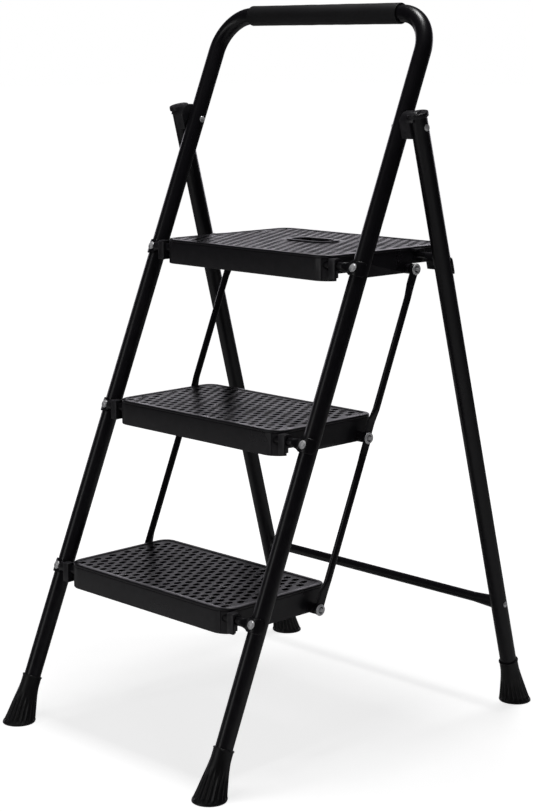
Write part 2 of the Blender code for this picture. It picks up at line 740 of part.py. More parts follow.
def top_step_hook(body, side, sign, pivot):
    """A side lug that drops over the rear rest, open to the front and below."""
    peg = rest_neck() - step_point("top")
    room = NECK_R + 0.0005
    front = peg.y - HOOK_FRONT
    back = peg.y + room + HOOK_WALL
    low = peg.z - HOOK_DROP
    high = peg.z + HOOK_TOP
    outline = [(front, high), (front, peg.z + room)]
    outline += arc((peg.y, peg.z), room, 90, 0, 5)
    outline += [(peg.y + room, low), (back, low), (back, high)]
    name = "hook_" + side
    mesh = outline_mesh(name, outline, TREAD_HALF_WIDTH - 0.0015, HOOK_X)
    mesh.transform(Matrix(((0, 0, sign, 0), (1, 0, 0, 0), (0, 1, 0, 0), (0, 0, 0, 1))))
    if sign < 0:
        mesh.flip_normals()
    join(body, add_object(name, mesh, pivot))


def step_clip(step, side, sign, pivot):
    """The hook over the cross tube, with a front wall that runs down beside the skirt."""
    name = f"step_clip_{step}_{side}"
    room = STEP_TUBE_R + GAP
    wall_back = CLIP_FRONT + CLIP_WALL
    corner = 0.0030
    crest = math.degrees(math.asin(CLIP_TOP / CLIP_R))
    meet = 360 - math.degrees(math.acos(wall_back / room))
    outline = [(CLIP_FRONT, CLIP_BOTTOM)]
    outline += arc((CLIP_FRONT + corner, CLIP_TOP - corner), corner, 180, 90, 3)
    outline += arc((0, 0), CLIP_R, crest, -25, 6)
    outline += arc((0, 0), room, -25, meet, 12)
    outline += [(wall_back, CLIP_BOTTOM)]
    mesh = outline_mesh(name, outline, *CLIP_X)
    mesh.transform(Matrix(((0, 0, sign, 0), (1, 0, 0, 0), (0, 1, 0, 0), (0, 0, 0, 1))))
    if sign < 0:
        mesh.flip_normals()
    clip = add_object(name, mesh, pivot, material="clip_plastic")
    corner_x = sorted((sign * 0.1700, sign * CLIP_SIDE_X))
    skirt = box_mesh(name + "_skirt", (corner_x[0], CLIP_CORNER_BACK, -0.03),
                     (corner_x[1], 0.02, 0.03))
    cut(clip, add_object(name + "_skirt", skirt, pivot))


def link_pin(step, side, sign, pivot):
    """The riveted pin through a tread's lug, with its washer."""
    shank = 0.0225
    tail_r = 0.0038
    profile = [(0.0, 0.0048), (0.0022, 0.0044), (0.0036, 0.0030), (0.0036, 0.0014),
               (WASHER_R, 0.0014), (WASHER_R, 0.0), (SHANK_R, 0.0), (SHANK_R, -shank),
               (tail_r, -shank), (tail_r, -shank - 0.0010), (0.0, -shank - 0.0010)]
    place = LINK_PIN + Vector((sign * WASHER_X, 0, 0))
    turned(f"link_pin_{step}_{side}", profile, pivot, place, (0, sign * math.pi / 2, 0),
           "rivet_steel", RIVET_SIDES)


def link_ear(ear, at, direction):
    """Rows for one flattened rod end round a pin, from its tip inwards."""
    centre_x, half_thick = ear
    rows = []
    for angle in (80, 40):
        reach = EAR_R * math.sin(math.radians(angle))
        rows.append((at - direction * reach, centre_x, half_thick,
                     EAR_R * math.cos(math.radians(angle)), 0.5))
    rows.append((at, centre_x, half_thick, EAR_R, 0.5))
    rows.append((at + direction * EAR_FLAT, centre_x, half_thick, EAR_R - 0.0002, 0.6))
    rows.append((at + direction * EAR_LENGTH, LINK_X, LINK_R, LINK_R, 1.0))
    return rows


def link_rod(level, side, sign, pivot, fall, upper_ear, lower_ear):
    """A link rod from an upper pin at the origin down to a lower pin."""
    name = f"link_{level}_{side}"
    down = fall.normalized()
    across = Vector((1, 0, 0)).cross(down)
    rows = link_ear(upper_ear, 0.0, 1) + list(reversed(link_ear(lower_ear, fall.length, -1)))
    rings = []
    for along, x, half_thick, half_wide, squareness in rows:
        centre = down * along
        ring = []
        for a, b in oval(half_thick, half_wide, squareness):
            ring.append(centre + Vector((sign * (x + a), 0, 0)) + across * b)
        rings.append(ring)
    rod = add_object(name, loft_mesh(name, rings), pivot, material="powder_coat")
    for label, place in (("upper", Vector()), ("lower", fall)):
        mesh = cylinder_mesh(f"{name}_{label}_hole", SHANK_R + GAP,
                             place + Vector((sign * 0.17, 0, 0)),
                             place + Vector((sign * 0.21, 0, 0)), HOLE_SIDES)
        cut(rod, add_object(f"{name}_{label}_hole", mesh, pivot))


def steps_and_links():
    fall = step_point("low") - step_point("middle")
    for step in STEP_Z:
        pivot = make_empty("step_pivot_" + step, step_point(step))
        tread(step, pivot)
        for side, sign in SIDES.items():
            step_clip(step, side, sign, pivot)
            link_pin(step, side, sign, pivot)
    upper_pivot = make_empty("link_pivot_upper", step_point("top") + LINK_PIN)
    lower_pivot = make_empty("link_pivot_lower", step_point("middle") + LINK_PIN)
    for side, sign in SIDES.items():
        link_rod("upper", side, sign, upper_pivot, fall, SINGLE_EAR, INNER_EAR)
        link_rod("lower", side, sign, lower_pivot, fall, OUTER_EAR, SINGLE_EAR)


clear_scene()
make_collections()
make_materials()
front_frame()
rear_frame()
steps_and_links()
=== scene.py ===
"""Looks of the three-step folding step stool: fine pieces, materials, light and camera.

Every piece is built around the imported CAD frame. Metres, +Z up, the user climbs towards +Y.
"""
import json
import math

import bmesh
import bpy
from mathutils import Matrix, Vector

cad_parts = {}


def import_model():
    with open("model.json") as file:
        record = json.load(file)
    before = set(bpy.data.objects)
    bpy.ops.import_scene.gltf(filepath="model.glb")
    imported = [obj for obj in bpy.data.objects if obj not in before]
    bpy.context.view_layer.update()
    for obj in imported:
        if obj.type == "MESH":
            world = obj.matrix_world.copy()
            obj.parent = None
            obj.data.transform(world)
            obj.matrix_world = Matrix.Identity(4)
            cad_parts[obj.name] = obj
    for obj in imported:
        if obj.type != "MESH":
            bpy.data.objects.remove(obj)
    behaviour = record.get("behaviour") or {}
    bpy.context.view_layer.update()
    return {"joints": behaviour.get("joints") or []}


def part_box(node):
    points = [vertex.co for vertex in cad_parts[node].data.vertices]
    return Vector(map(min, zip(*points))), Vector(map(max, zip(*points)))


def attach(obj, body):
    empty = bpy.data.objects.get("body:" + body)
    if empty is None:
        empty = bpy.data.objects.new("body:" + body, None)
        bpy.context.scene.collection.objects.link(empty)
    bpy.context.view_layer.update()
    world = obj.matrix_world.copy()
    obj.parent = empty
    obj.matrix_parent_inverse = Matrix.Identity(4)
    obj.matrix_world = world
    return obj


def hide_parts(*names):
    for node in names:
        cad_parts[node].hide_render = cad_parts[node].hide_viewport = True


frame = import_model()

# ------------------------------------------------------------ measures from the frame
PIVOT = {joint["name"]: Vector(joint["pos_m"]) for joint in frame["joints"]}
HINGE = PIVOT["rear_frame_fold"]
STEP = {name: PIVOT[name + "_step_fold"] for name in ("low", "middle", "top")}
LINK_PIN = PIVOT["upper_link_swing"] - STEP["top"]
SIDES = {"left": -1, "right": 1}


def half_width(node):
    low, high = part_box(node)
    return (high.x - low.x) / 2


def middle_x(node):
    low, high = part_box(node)
    return (high.x + low.x) / 2


FOOT_R = half_width("front_foot_right")
FRONT_X = middle_x("front_foot_right")
REAR_X_FLOOR = middle_x("rear_foot_right")
FRONT_Y0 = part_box("front_foot_right")[0].y + FOOT_R
REAR_Y0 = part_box("rear_foot_right")[1].y - FOOT_R
TUBE_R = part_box("front_frame_tube")[1].x - FRONT_X
FRONT_SLOPE = (STEP["top"].y - STEP["low"].y) / (STEP["top"].z - STEP["low"].z)
FRONT_LEAN = math.atan(FRONT_SLOPE)
REAR_LEAN = math.atan2(REAR_Y0 - HINGE.y, HINGE.z)
REAR_LENGTH = math.hypot(REAR_Y0 - HINGE.y, HINGE.z)
GRIP_LOW, GRIP_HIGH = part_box("handle_grip")
GRIP_R = (GRIP_HIGH.z - GRIP_LOW.z) / 2
TOP_BAR_Z = (GRIP_HIGH.z + GRIP_LOW.z) / 2
GRIP_HALF = (GRIP_HIGH.x - GRIP_LOW.x) / 2
BAR_Z = sum(corner.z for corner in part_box("rear_lower_bar")) / 2

# ------------------------------------------------------------------ details of the design
# Places along X are given for the right side; the left side mirrors them.
# Frame tubes: FRAME_END is how far up each foot the tube inside it ends.
BEND_R = 0.058
FRAME_END = 0.0125
REAR_X_HINGE = 0.2470
REAR_LEG_TOP = 0.0146
FLUTES = 20

# Cross tubes: their ends are pressed flat, FLAT_HALF high to each side, and hug the legs.
STEP_TUBE_R = 0.00635
STEP_TUBE_OUT = 0.0155
FLATTENING_X = (0.1925, 0.2055)
FLAT_HALF = 0.0105
SADDLE_THICK = 0.0012
SADDLE_R = TUBE_R + 0.0003 + SADDLE_THICK
BAR_R = 0.0075

# Treads: Y and Z are measured from the cross tube's axis, which each tread turns on.
TREAD_HALF = 0.1755
TREAD_FRONT = 0.0105
TREAD_TOP = 0.0138
SKIRT_LOW = -0.0228
SKIRT_WALL = 0.0025
FRONT_CORNER = 0.028
REAR_CORNER = 0.020
RIB_HALF = 0.0009
DIMPLE_PITCH_X = 0.0164
DIMPLE_PITCH_Y = 0.0147
DECK_INNER = TREAD_TOP - 0.0005
PIT_R = 0.0043
PIT_STRAIGHT = 0.0020
PIT_DEPTH = 0.0033
HAND_HOLE = {"half": 0.036, "front": 0.090 - STEP["top"].y, "back": 0.126 - STEP["top"].y}
RIM_WIDTH = 0.008
CLIP_X = (0.1735, 0.1858)

# Link rods: each ear is (place along X, half its thickness).
LINK_X = 0.1915
LINK_R = 0.0051
INNER_EAR = (0.1889, 0.0010)
OUTER_EAR = (0.1912, 0.0010)
SINGLE_EAR = (0.1899, 0.0020)
EAR_R = 0.0078
WASHER_X = 0.1925

# Rear rests: an arm with a thin neck that the top tread's hook drops over.
REST_R = 0.0065
REST = Vector((0.1770, 0.1380, 0.7005))
REST_SADDLE_Z = 0.6930
REST_FLAT_HALF = 0.0120
NECK_R = 0.0045
NECK_X = 0.1995
NECK_BACK = 0.0015
NECK_RISE = 0.0017

FRONT_PLANE = Matrix.Translation((0, FRONT_Y0, 0)) @ Matrix.Rotation(-FRONT_LEAN, 4, "X")
REAR_PLANE = Matrix.Translation(HINGE) @ Matrix.Rotation(REAR_LEAN, 4, "X")


# ------------------------------------------------------------------------- materials
def range_node(tree, source, from_low, from_high, to_low, to_high, smooth=False):
    node = tree.nodes.new("ShaderNodeMapRange")
    node.interpolation_type = "SMOOTHSTEP" if smooth else "LINEAR"
    node.inputs["From Min"].default_value = from_low
    node.inputs["From Max"].default_value = from_high
    node.inputs["To Min"].default_value = to_low
    node.inputs["To Max"].default_value = to_high
    tree.links.new(source, node.inputs["Value"])
    return node.outputs["Result"]


def multiply(tree, first, second):
    node = tree.nodes.new("ShaderNodeMath")
    node.operation = "MULTIPLY"
    tree.links.new(first, node.inputs[0])
    tree.links.new(second, node.inputs[1])
    return node.outputs["Value"]


class Nodes:
    """A small helper that wires one procedural material."""

    def __init__(self, name):
        self.material = bpy.data.materials.new(name)
        self.material.use_nodes = True
        self.tree = self.material.node_tree
        self.shader = self.tree.nodes["Principled BSDF"]
        self.place = self.add("ShaderNodeTexCoord").outputs["Object"]

    def add(self, kind, **values):
        node = self.tree.nodes.new(kind)
        for key, value in values.items():
            setattr(node, key, value)
        return node

    def link(self, source, target):
        self.tree.links.new(source, target)

    def noise(self, scale, detail=3.0, stretch=None):
        node = self.add("ShaderNodeTexNoise")
        node.inputs["Scale"].default_value = scale
        node.inputs["Detail"].default_value = detail
        source = self.place
        if stretch:
            mapping = self.add("ShaderNodeMapping")
            mapping.inputs["Scale"].default_value = stretch
            self.link(self.place, mapping.inputs["Vector"])
            source = mapping.outputs["Vector"]
        self.link(source, node.inputs["Vector"])
        return node.outputs["Fac"]

    def cells(self, scale):
        node = self.add("ShaderNodeTexVoronoi")
        node.inputs["Scale"].default_value = scale
        self.link(self.place, node.inputs["Vector"])
        return node.outputs["Distance"]

    def spread(self, source, low, high, from_low=0.3, from_high=0.7):
        return range_node(self.tree, source, from_low, from_high, low, high)

    def mix(self, factor, first, second):
        """Blend from the first to the second; the first is a colour or a node's output."""
        node = self.add("ShaderNodeMix", data_type="RGBA")
        if isinstance(first, tuple):
            node.inputs["A"].default_value = (*first, 1.0)
        else:
            self.link(first, node.inputs["A"])
        node.inputs["B"].default_value = (*second, 1.0)
        self.link(factor, node.inputs["Factor"])
        return node.outputs["Result"]

    def bumps(self, *layers):
        """Chain bumps, each (height, strength, distance)."""
        normal = None
        for height, strength, distance in layers:
            node = self.add("ShaderNodeBump")
            node.inputs["Strength"].default_value = strength
            node.inputs["Distance"].default_value = distance
            self.link(height, node.inputs["Height"])
            if normal is not None:
                self.link(normal, node.inputs["Normal"])
            normal = node.outputs["Normal"]
        self.link(normal, self.shader.inputs["Normal"])

    def edges(self, low=0.52, high=0.62):
        """1 on worn outer edges, 0 elsewhere."""
        geometry = self.add("ShaderNodeNewGeometry")
        return self.spread(geometry.outputs["Pointiness"], 0.0, 1.0, low, high)

    def product(self, first, second):
        return multiply(self.tree, first, second)

    def base(self, source):
        self.link(source, self.shader.inputs["Base Color"])

    def rough(self, source):
        self.link(source, self.shader.inputs["Roughness"])


def powder_coat():
    """Satin black stoved powder with a fine orange peel and lightly rubbed edges."""
    kit = Nodes("powder_coat")
    patches = kit.noise(9.0, 4.0)
    scuffs = kit.product(kit.edges(), kit.spread(kit.noise(60.0, 5.0), 0.0, 0.6))
    tone = kit.mix(scuffs, (0.0078, 0.0070, 0.0094), (0.030, 0.029, 0.034))
    kit.base(tone)
    kit.rough(kit.spread(patches, 0.27, 0.36))
    kit.bumps((kit.noise(650.0, 2.0), 0.10, 0.0004), (kit.noise(2600.0, 1.0), 0.05, 0.0002))
    kit.shader.inputs["Specular IOR Level"].default_value = 0.5
    return kit.material


def moulded_plastic(name, tone, pale, rough, grain):
    """Spark-textured moulding: tiny pits, slight flow marks, paler edges."""
    kit = Nodes(name)
    flow = kit.noise(14.0, 3.0, (1.0, 2.5, 1.0))
    edge = kit.product(kit.edges(0.51, 0.60), kit.spread(kit.noise(90.0, 4.0), 0.1, 0.9))
    kit.base(kit.mix(edge, tone, pale))
    kit.rough(kit.spread(flow, rough - 0.05, rough + 0.05))
    kit.bumps((kit.cells(1500.0), grain, 0.0003), (kit.noise(500.0, 3.0), grain * 0.5, 0.0003))
    return kit.material


def pit_shadow():
    """Painted shade for the rough floor of the deck's pits: near black and weakly reflective."""
    kit = Nodes("pit_shadow")
    # painted shade: the pits are coloured near black and reflect little, standing in for the
    # shadow in them
    kit.base(kit.mix(kit.noise(80.0, 4.0), (0.0030, 0.0030, 0.0033), (0.0060, 0.0058, 0.0062)))
    kit.rough(kit.spread(kit.noise(40.0, 3.0), 0.80, 0.95))
    kit.shader.inputs["Specular IOR Level"].default_value = 0.12
    kit.bumps((kit.cells(1500.0), 0.2, 0.0003))
    return kit.material


def foot_rubber():
    """Dark rubber with a little dust, and a painted highlight on the flute ridges."""
    kit = Nodes("foot_rubber")
    dust = kit.spread(kit.noise(35.0, 6.0), 0.0, 0.45, 0.45, 0.75)
    rubber = kit.mix(dust, (0.0050, 0.0048, 0.0056), (0.011, 0.011, 0.012))
    # painted highlight: the flute ridges and other sharp edges are coloured pale grey
    kit.base(kit.mix(kit.edges(0.53, 0.60), rubber, (0.085, 0.083, 0.088)))
    kit.rough(kit.spread(kit.noise(20.0, 4.0), 0.38, 0.50))
    kit.bumps((kit.noise(900.0, 3.0), 0.12, 0.0004))
    return kit.material


def grip_foam():
    """Soft closed-cell sleeve: matte, with a skin of very fine pores."""
    kit = Nodes("grip_foam")
    kit.base(kit.mix(kit.noise(25.0, 5.0), (0.0110, 0.0105, 0.0125), (0.0165, 0.0160, 0.0180)))
    kit.rough(kit.spread(kit.noise(12.0, 4.0), 0.52, 0.62))
    kit.bumps((kit.cells(1100.0), 0.16, 0.0004), (kit.noise(300.0, 4.0), 0.08, 0.0004))
    return kit.material


def rivet_steel():
    """Zinc-plated steel with faint turning marks and small dents."""
    kit = Nodes("rivet_steel")
    kit.base(kit.mix(kit.noise(140.0, 4.0), (0.86, 0.86, 0.88), (0.96, 0.96, 0.97)))
    kit.rough(kit.spread(kit.noise(260.0, 4.0), 0.22, 0.40))
    kit.shader.inputs["Metallic"].default_value = 0.25
    kit.bumps((kit.noise(420.0, 3.0), 0.12, 0.0003))
    return kit.material


MATERIALS = {
    "powder_coat": powder_coat(),
    "tread_plastic": moulded_plastic(
        "tread_plastic", (0.0128, 0.0116, 0.0148), (0.036, 0.034, 0.039), 0.31, 0.20),
    "pit_shadow": pit_shadow(),
    "clip_plastic": moulded_plastic(
        "clip_plastic", (0.0165, 0.0155, 0.0185), (0.075, 0.073, 0.080), 0.40, 0.14),
    "hinge_plastic": moulded_plastic(
        "hinge_plastic", (0.0155, 0.0146, 0.0176), (0.070, 0.068, 0.074), 0.32, 0.12),
    "foot_rubber": foot_rubber(),
    "grip_foam": grip_foam(),
    "rivet_steel": rivet_steel(),
}


# ------------------------------------------------------------------------ mesh building
def smooth(mesh, sharp):
    mesh.shade_smooth()
    mesh.set_sharp_from_angle(angle=math.radians(sharp))


def mesh_object(name, shape, sharp=32):
    """Turn a bmesh into an object in world space with faces outward."""
    bmesh.ops.recalc_face_normals(shape, faces=shape.faces[:])
    mesh = bpy.data.meshes.new(name)
    shape.to_mesh(mesh)
    shape.free()
    smooth(mesh, sharp)
    item = bpy.data.objects.new(name, mesh)
    bpy.context.scene.collection.objects.link(item)
    return item


def piece(item, slot, body, *nodes):
    """Finish a piece: its material, the body it rides on and the nodes it stands for."""
    if not item.data.materials:
        item.data.materials.append(MATERIALS[slot])
    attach(item, body)
    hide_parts(*nodes)
    return item


def skin(rings, cyclic=False):
    """A bmesh skinned over rings of equal count: capped at both ends, or closed on itself."""
    shape = bmesh.new()
    rows = [[shape.verts.new(point) for point in ring] for ring in rings]
    count = len(rows[0])
    following = rows[1:] + ([rows[0]] if cyclic else [])
    for row, after in zip(rows, following):
        for i in range(count):
            j = (i + 1) % count
            shape.faces.new((row[i], row[j], after[j], after[i]))
    if not cyclic:
        shape.faces.new(rows[0])
        shape.faces.new(rows[-1])
    return shape


def add_cylinder(shape, radius, start, end, segments=32):
    start = Vector(start)
    end = Vector(end)
    axis = end - start
    turn = axis.to_track_quat("Z", "Y").to_matrix().to_4x4()
    bmesh.ops.create_cone(
        shape, cap_ends=True, segments=segments, radius1=radius, radius2=radius,
        depth=axis.length, matrix=Matrix.Translation((start + end) / 2) @ turn)


def add_side_cylinder(shape, radius, spot, sign, x0, x1, segments=40):
    """A cylinder along X through a spot, on one side of the stool."""
    add_cylinder(shape, radius, spot + Vector((sign * x0, 0, 0)),
                 spot + Vector((sign * x1, 0, 0)), segments)


def add_box(shape, low, high):
    low = Vector(low)
    high = Vector(high)
    place = Matrix.Translation((low + high) / 2) @ Matrix.Diagonal((*(high - low), 1.0))
    bmesh.ops.create_cube(shape, size=1.0, matrix=place)


def side_box(sign, x_range, y_range, z_range):
    """A box on one side of the stool, from ranges in X (right side), Y and Z."""
    shape = bmesh.new()
    x0, x1 = sorted((sign * x_range[0], sign * x_range[1]))
    add_box(shape, (x0, y_range[0], z_range[0]), (x1, y_range[1], z_range[1]))
    return shape


def combine(item, shape, operation, solver="EXACT"):
    """Cut or join a bmesh tool into a piece for good."""
    tool = mesh_object(item.name + "_tool", shape)
    change = item.modifiers.new("tool", "BOOLEAN")
    change.operation = operation
    change.solver = solver
    change.object = tool
    bpy.context.view_layer.update()
    graph = bpy.context.evaluated_depsgraph_get()
    mesh = bpy.data.meshes.new_from_object(item.evaluated_get(graph))
    item.modifiers.clear()
    item.data = mesh
    mesh.materials.clear()
    bpy.data.objects.remove(tool, do_unlink=True)
    smooth(mesh, 32)


def ease(t):
    return t * t * (3 - 2 * t)


def mix(first, second, t):
    return tuple(a + (b - a) * t for a, b in zip(first, second))


def arc(centre, radius, start, end, steps):
    points = []
    for i in range(steps + 1):
        angle = math.radians(start + (end - start) * i / steps)
        points.append((centre[0] + radius * math.cos(angle), centre[1] + radius * math.sin(angle)))
    return points


def oval(half_a, half_b, squareness, count=32):
    """A section between an ellipse (1) and a rounded slab (towards 0)."""
    points = []
    for i in range(count):
        angle = math.tau * i / count
        c = math.cos(angle)
        s = math.sin(angle)
        points.append((math.copysign(abs(c) ** squareness, c) * half_a,
                       math.copysign(abs(s) ** squareness, s) * half_b))
    return points


def rounded_rectangle(x0, x1, y0, y1, low_radius, high_radius, steps=12):
    outline = arc((x1 - low_radius, y0 + low_radius), low_radius, -90, 0, steps)
    outline += arc((x1 - high_radius, y1 - high_radius), high_radius, 0, 90, steps)
    outline += arc((x0 + high_radius, y1 - high_radius), high_radius, 90, 180, steps)
    outline += arc((x0 + low_radius, y0 + low_radius), low_radius, 180, 270, steps)
    return outline


def ring_at(outline, height):
    return [Vector((x, y, height)) for x, y in outline]


def swept_tube(points, radius, sides=48):
    """A round tube along a path that lies in the XZ plane."""
    rings = []
    for i, point in enumerate(points):
        before = points[max(i - 1, 0)]
        after = points[min(i + 1, len(points) - 1)]
        tangent = (after - before).normalized()
        out = Vector((0, 1, 0))
        across = tangent.cross(out)
        rings.append([point + radius * (out * math.cos(math.tau * k / sides)
                                        + across * math.sin(math.tau * k / sides))
                      for k in range(sides)])
    return skin(rings)


def turned(profile, steps=40):
    """A solid of revolution about Z from (radius, height) rows, both ends on the axis."""
    shape = bmesh.new()
    tip = shape.verts.new((0, 0, profile[0][1]))
    tail = shape.verts.new((0, 0, profile[-1][1]))
    rows = []
    for radius, height in profile[1:-1]:
        rows.append([shape.verts.new((radius * math.cos(math.tau * k / steps),
                                      radius * math.sin(math.tau * k / steps), height))
                     for k in range(steps)])
    for k in range(steps):
        j = (k + 1) % steps
        shape.faces.new((tip, rows[0][k], rows[0][j]))
        shape.faces.new((tail, rows[-1][j], rows[-1][k]))
        for row, after in zip(rows, rows[1:]):
            shape.faces.new((row[k], after[k], after[j], row[j]))
    return shape


def prism(outline, x0, x1, bevel=0.0, segments=2):
    """A YZ outline raised along X, with softened end edges."""
    low, high = min(x0, x1), max(x0, x1)
    shape = bmesh.new()
    first = [shape.verts.new((low, y, z)) for y, z in outline]
    last = [shape.verts.new((high, y, z)) for y, z in outline]
    caps = [shape.faces.new(first), shape.faces.new(last)]
    count = len(outline)
    for i in range(count):
        j = (i + 1) % count
        shape.faces.new((first[i], first[j], last[j], last[i]))
    bmesh.ops.recalc_face_normals(shape, faces=shape.faces[:])
    if bevel:
        edges = {edge for cap in caps for edge in cap.edges}
        bmesh.ops.bevel(shape, geom=list(edges), offset=bevel, segments=segments, profile=0.5,
                        affect="EDGES")
    return shape


def placed(shape, matrix):
    bmesh.ops.transform(shape, matrix=matrix, verts=shape.verts[:])
    return shape


def rear_leg_x(down):
    """Half the rear legs' spread at a distance down the leg from the hinge."""
    return REAR_X_HINGE + (REAR_X_FLOOR - REAR_X_HINGE) * down / REAR_LENGTH


def front_along(step):
    """A step tube's place up the leaning front frame."""
    return (STEP[step].z - STEP_TUBE_OUT * math.sin(FRONT_LEAN)) / math.cos(FRONT_LEAN)


# -------------------------------------------------------------------- frame tubes and grip
def front_frame_tube():
    top = TOP_BAR_Z / math.cos(FRONT_LEAN)
    bend_x = FRONT_X - BEND_R
    path = [(FRONT_X, FRAME_END)]
    path += arc((bend_x, top - BEND_R), BEND_R, 0, 90, 24)
    path += arc((-bend_x, top - BEND_R), BEND_R, 90, 180, 24)
    path += [(-FRONT_X, FRAME_END)]
    shape = swept_tube([Vector((x, 0, z)) for x, z in path], TUBE_R)
    item = mesh_object("front_frame_bent_tube", placed(shape, FRONT_PLANE))
    piece(item, "powder_coat", "front_frame", "front_frame_tube")


def handle_grip():
    """A sleeve round the top bar: open, softly rounded ends and a barely uneven surface."""
    bore = TUBE_R + 0.0002
    rim = GRIP_HALF - 0.0003
    soft = 0.0009
    rows = [(bore, -rim)]
    rows += [(GRIP_R - soft + r, -GRIP_HALF + soft + z)
             for r, z in arc((0, 0), soft, -90, 0, 5)]
    count = 24
    for i in range(1, count):
        along = -1 + 2 * i / count
        swell = 0.00012 * math.sin(i * 2.1) + 0.00008 * math.sin(i * 0.9)
        rows.append((GRIP_R - 0.0001 + swell * (1 - along * along), along * (GRIP_HALF - soft)))
    rows += [(GRIP_R - soft + r, GRIP_HALF - soft + z)
             for r, z in arc((0, 0), soft, 0, 90, 5)]
    rows += [(bore, rim)]
    sides = 64
    rings = [[Vector((z, r * math.cos(math.tau * k / sides), r * math.sin(math.tau * k / sides)))
              for k in range(sides)] for r, z in rows]
    centre = Vector((0, FRONT_Y0 + FRONT_SLOPE * TOP_BAR_Z, TOP_BAR_Z))
    shape = placed(skin(rings, cyclic=True), Matrix.Translation(centre))
    piece(mesh_object("handle_grip_sleeve", shape), "grip_foam", "front_frame", "handle_grip")


def rear_legs():
    for side, sign in SIDES.items():
        bottom = REAR_LENGTH - FRAME_END
        points = []
        for i in range(13):
            down = -REAR_LEG_TOP + (bottom + REAR_LEG_TOP) * i / 12
            points.append(Vector((sign * rear_leg_x(down), 0, -down)))
        item = mesh_object("rear_leg_tube_" + side, placed(swept_tube(points, TUBE_R), REAR_PLANE))
        piece(item, "powder_coat", "rear_frame", "rear_leg_" + side)


# ---------------------------------------------------------------------------------- feet
def foot(body, node, place, axis):
    """A flared rubber shoe: rolled lip, plain collar, concave fluted skirt, base band."""
    axis = axis.normalized()
    collar_r = 0.0143
    socket_r = TUBE_R + 0.0001
    length = 0.0720
    # Each row is (distance up the foot, radius, tilt towards the leg's axis, groove depth).
    rows = [(0.0000, FOOT_R - 0.0012, 0.0, 0.0), (0.0003, FOOT_R - 0.0004, 0.0, 0.0),
            (0.0010, FOOT_R - 0.0001, 0.0, 0.0), (0.0028, FOOT_R - 0.0001, 0.0, 0.0),
            (0.0036, FOOT_R - 0.0006, 0.0, 0.0)]
    start = 0.0042
    end = 0.0560
    steps = 22
    for i in range(steps + 1):
        t = i / steps
        along = start + (end - start) * t
        flare = (FOOT_R - 0.0009 - collar_r) * (1 - t) ** 1.22
        depth = 0.0021 * min(1.0, t / 0.05) * max(0.0, min(1.0, (0.80 - t) / 0.40))
        rows.append((along, collar_r + flare, ease(min(t * 1.15, 1.0)), depth))
    rows += [(0.0600, collar_r - 0.0001, 1.0, 0.0), (0.0665, collar_r - 0.0002, 1.0, 0.0)]
    lip = 0.0012
    rows += [(length - lip + z, collar_r - 0.0003 + r * 0.9, 1.0, 0.0)
             for r, z in arc((0, 0), lip, -75, 90, 8)]
    rows += [(length - 0.0002, socket_r + 0.0003, 1.0, 0.0), (length - 0.0012, socket_r, 1.0, 0.0),
             (FRAME_END - 0.0005, socket_r, 1.0, 0.0)]
    count = FLUTES * 8
    rings = []
    for along, radius, tilt, depth in rows:
        normal = Vector((0, 0, 1)).lerp(axis, tilt).normalized()
        across = Vector((1, 0, 0))
        forward = normal.cross(across).normalized()
        ring = []
        for k in range(count):
            angle = math.tau * k / count
            ridge = abs(math.cos(angle * FLUTES / 2)) ** 0.9
            reach = radius - depth * (1 - ridge ** 5)
            ring.append(place + axis * along
                        + reach * (across * math.cos(angle) + forward * math.sin(angle)))
        rings.append(ring)
    item = mesh_object("fluted_" + node, skin(rings), 40)
    piece(item, "foot_rubber", body, node)


def feet():
    front_axis = Vector((0, math.sin(FRONT_LEAN), math.cos(FRONT_LEAN)))
    for side, sign in SIDES.items():
        foot("front_frame", "front_foot_" + side, Vector((sign * FRONT_X, FRONT_Y0, 0)),
             front_axis)
        rear_axis = Vector((sign * (REAR_X_HINGE - REAR_X_FLOOR), HINGE.y - REAR_Y0, HINGE.z))
        foot("rear_frame", "rear_foot_" + side, Vector((sign * REAR_X_FLOOR, REAR_Y0, 0)),
             rear_axis)


# --------------------------------------------------------- cross tubes with flattened ends
def saddle_ring(x, out, shift, half_a, half_b, squareness, turn):
    """A section of a cross tube: out is ahead of the legs' plane, turn is round a leg."""
    angle = math.radians(turn)
    return [Vector((x + a * math.sin(angle), -out - a * math.cos(angle), shift + b))
            for a, b in oval(half_a, half_b, squareness)]


def wrap_rows(leg_x, half_height, last_turn, shift=0.0):
    """Rows of a flat end that runs round the outer side of a leg to a rounded tip."""
    rows = []
    steps = 16
    tip = 0.30
    for i in range(1, steps + 1):
        t = i / steps
        angle = math.radians(last_turn * t)
        short = max(0.0, (t - 1 + tip) / tip)
        height = half_height * (0.62 + 0.38 * math.sqrt(1 - short * short))
        rows.append((leg_x + SADDLE_R * math.sin(angle), SADDLE_R * math.cos(angle), shift,
                     SADDLE_THICK, height, 0.42, last_turn * t))
    return rows


def transition_rows(first, last, steps=12):
    return [mix(first, last, ease(i / steps)) for i in range(steps + 1)]


def mirrored(rows):
    return [(-x, out, shift, a, b, squareness, -turn)
            for x, out, shift, a, b, squareness, turn in reversed(rows)]


def flattening(start, end, steps=14):
    """Rows where the round cross tube is pressed flat: its height grows late."""
    round_end = (STEP_TUBE_OUT, 0, STEP_TUBE_R)
    flat_end = (SADDLE_R, 0, SADDLE_THICK)
    rows = []
    for i in range(steps + 1):
        t = i / steps
        half_high = STEP_TUBE_R + (FLAT_HALF - STEP_TUBE_R) * t ** 3
        rows.append((start + (end - start) * t, *mix(round_end, flat_end, ease(t)), half_high,
                     1.0 - 0.55 * t, 0))
    return rows


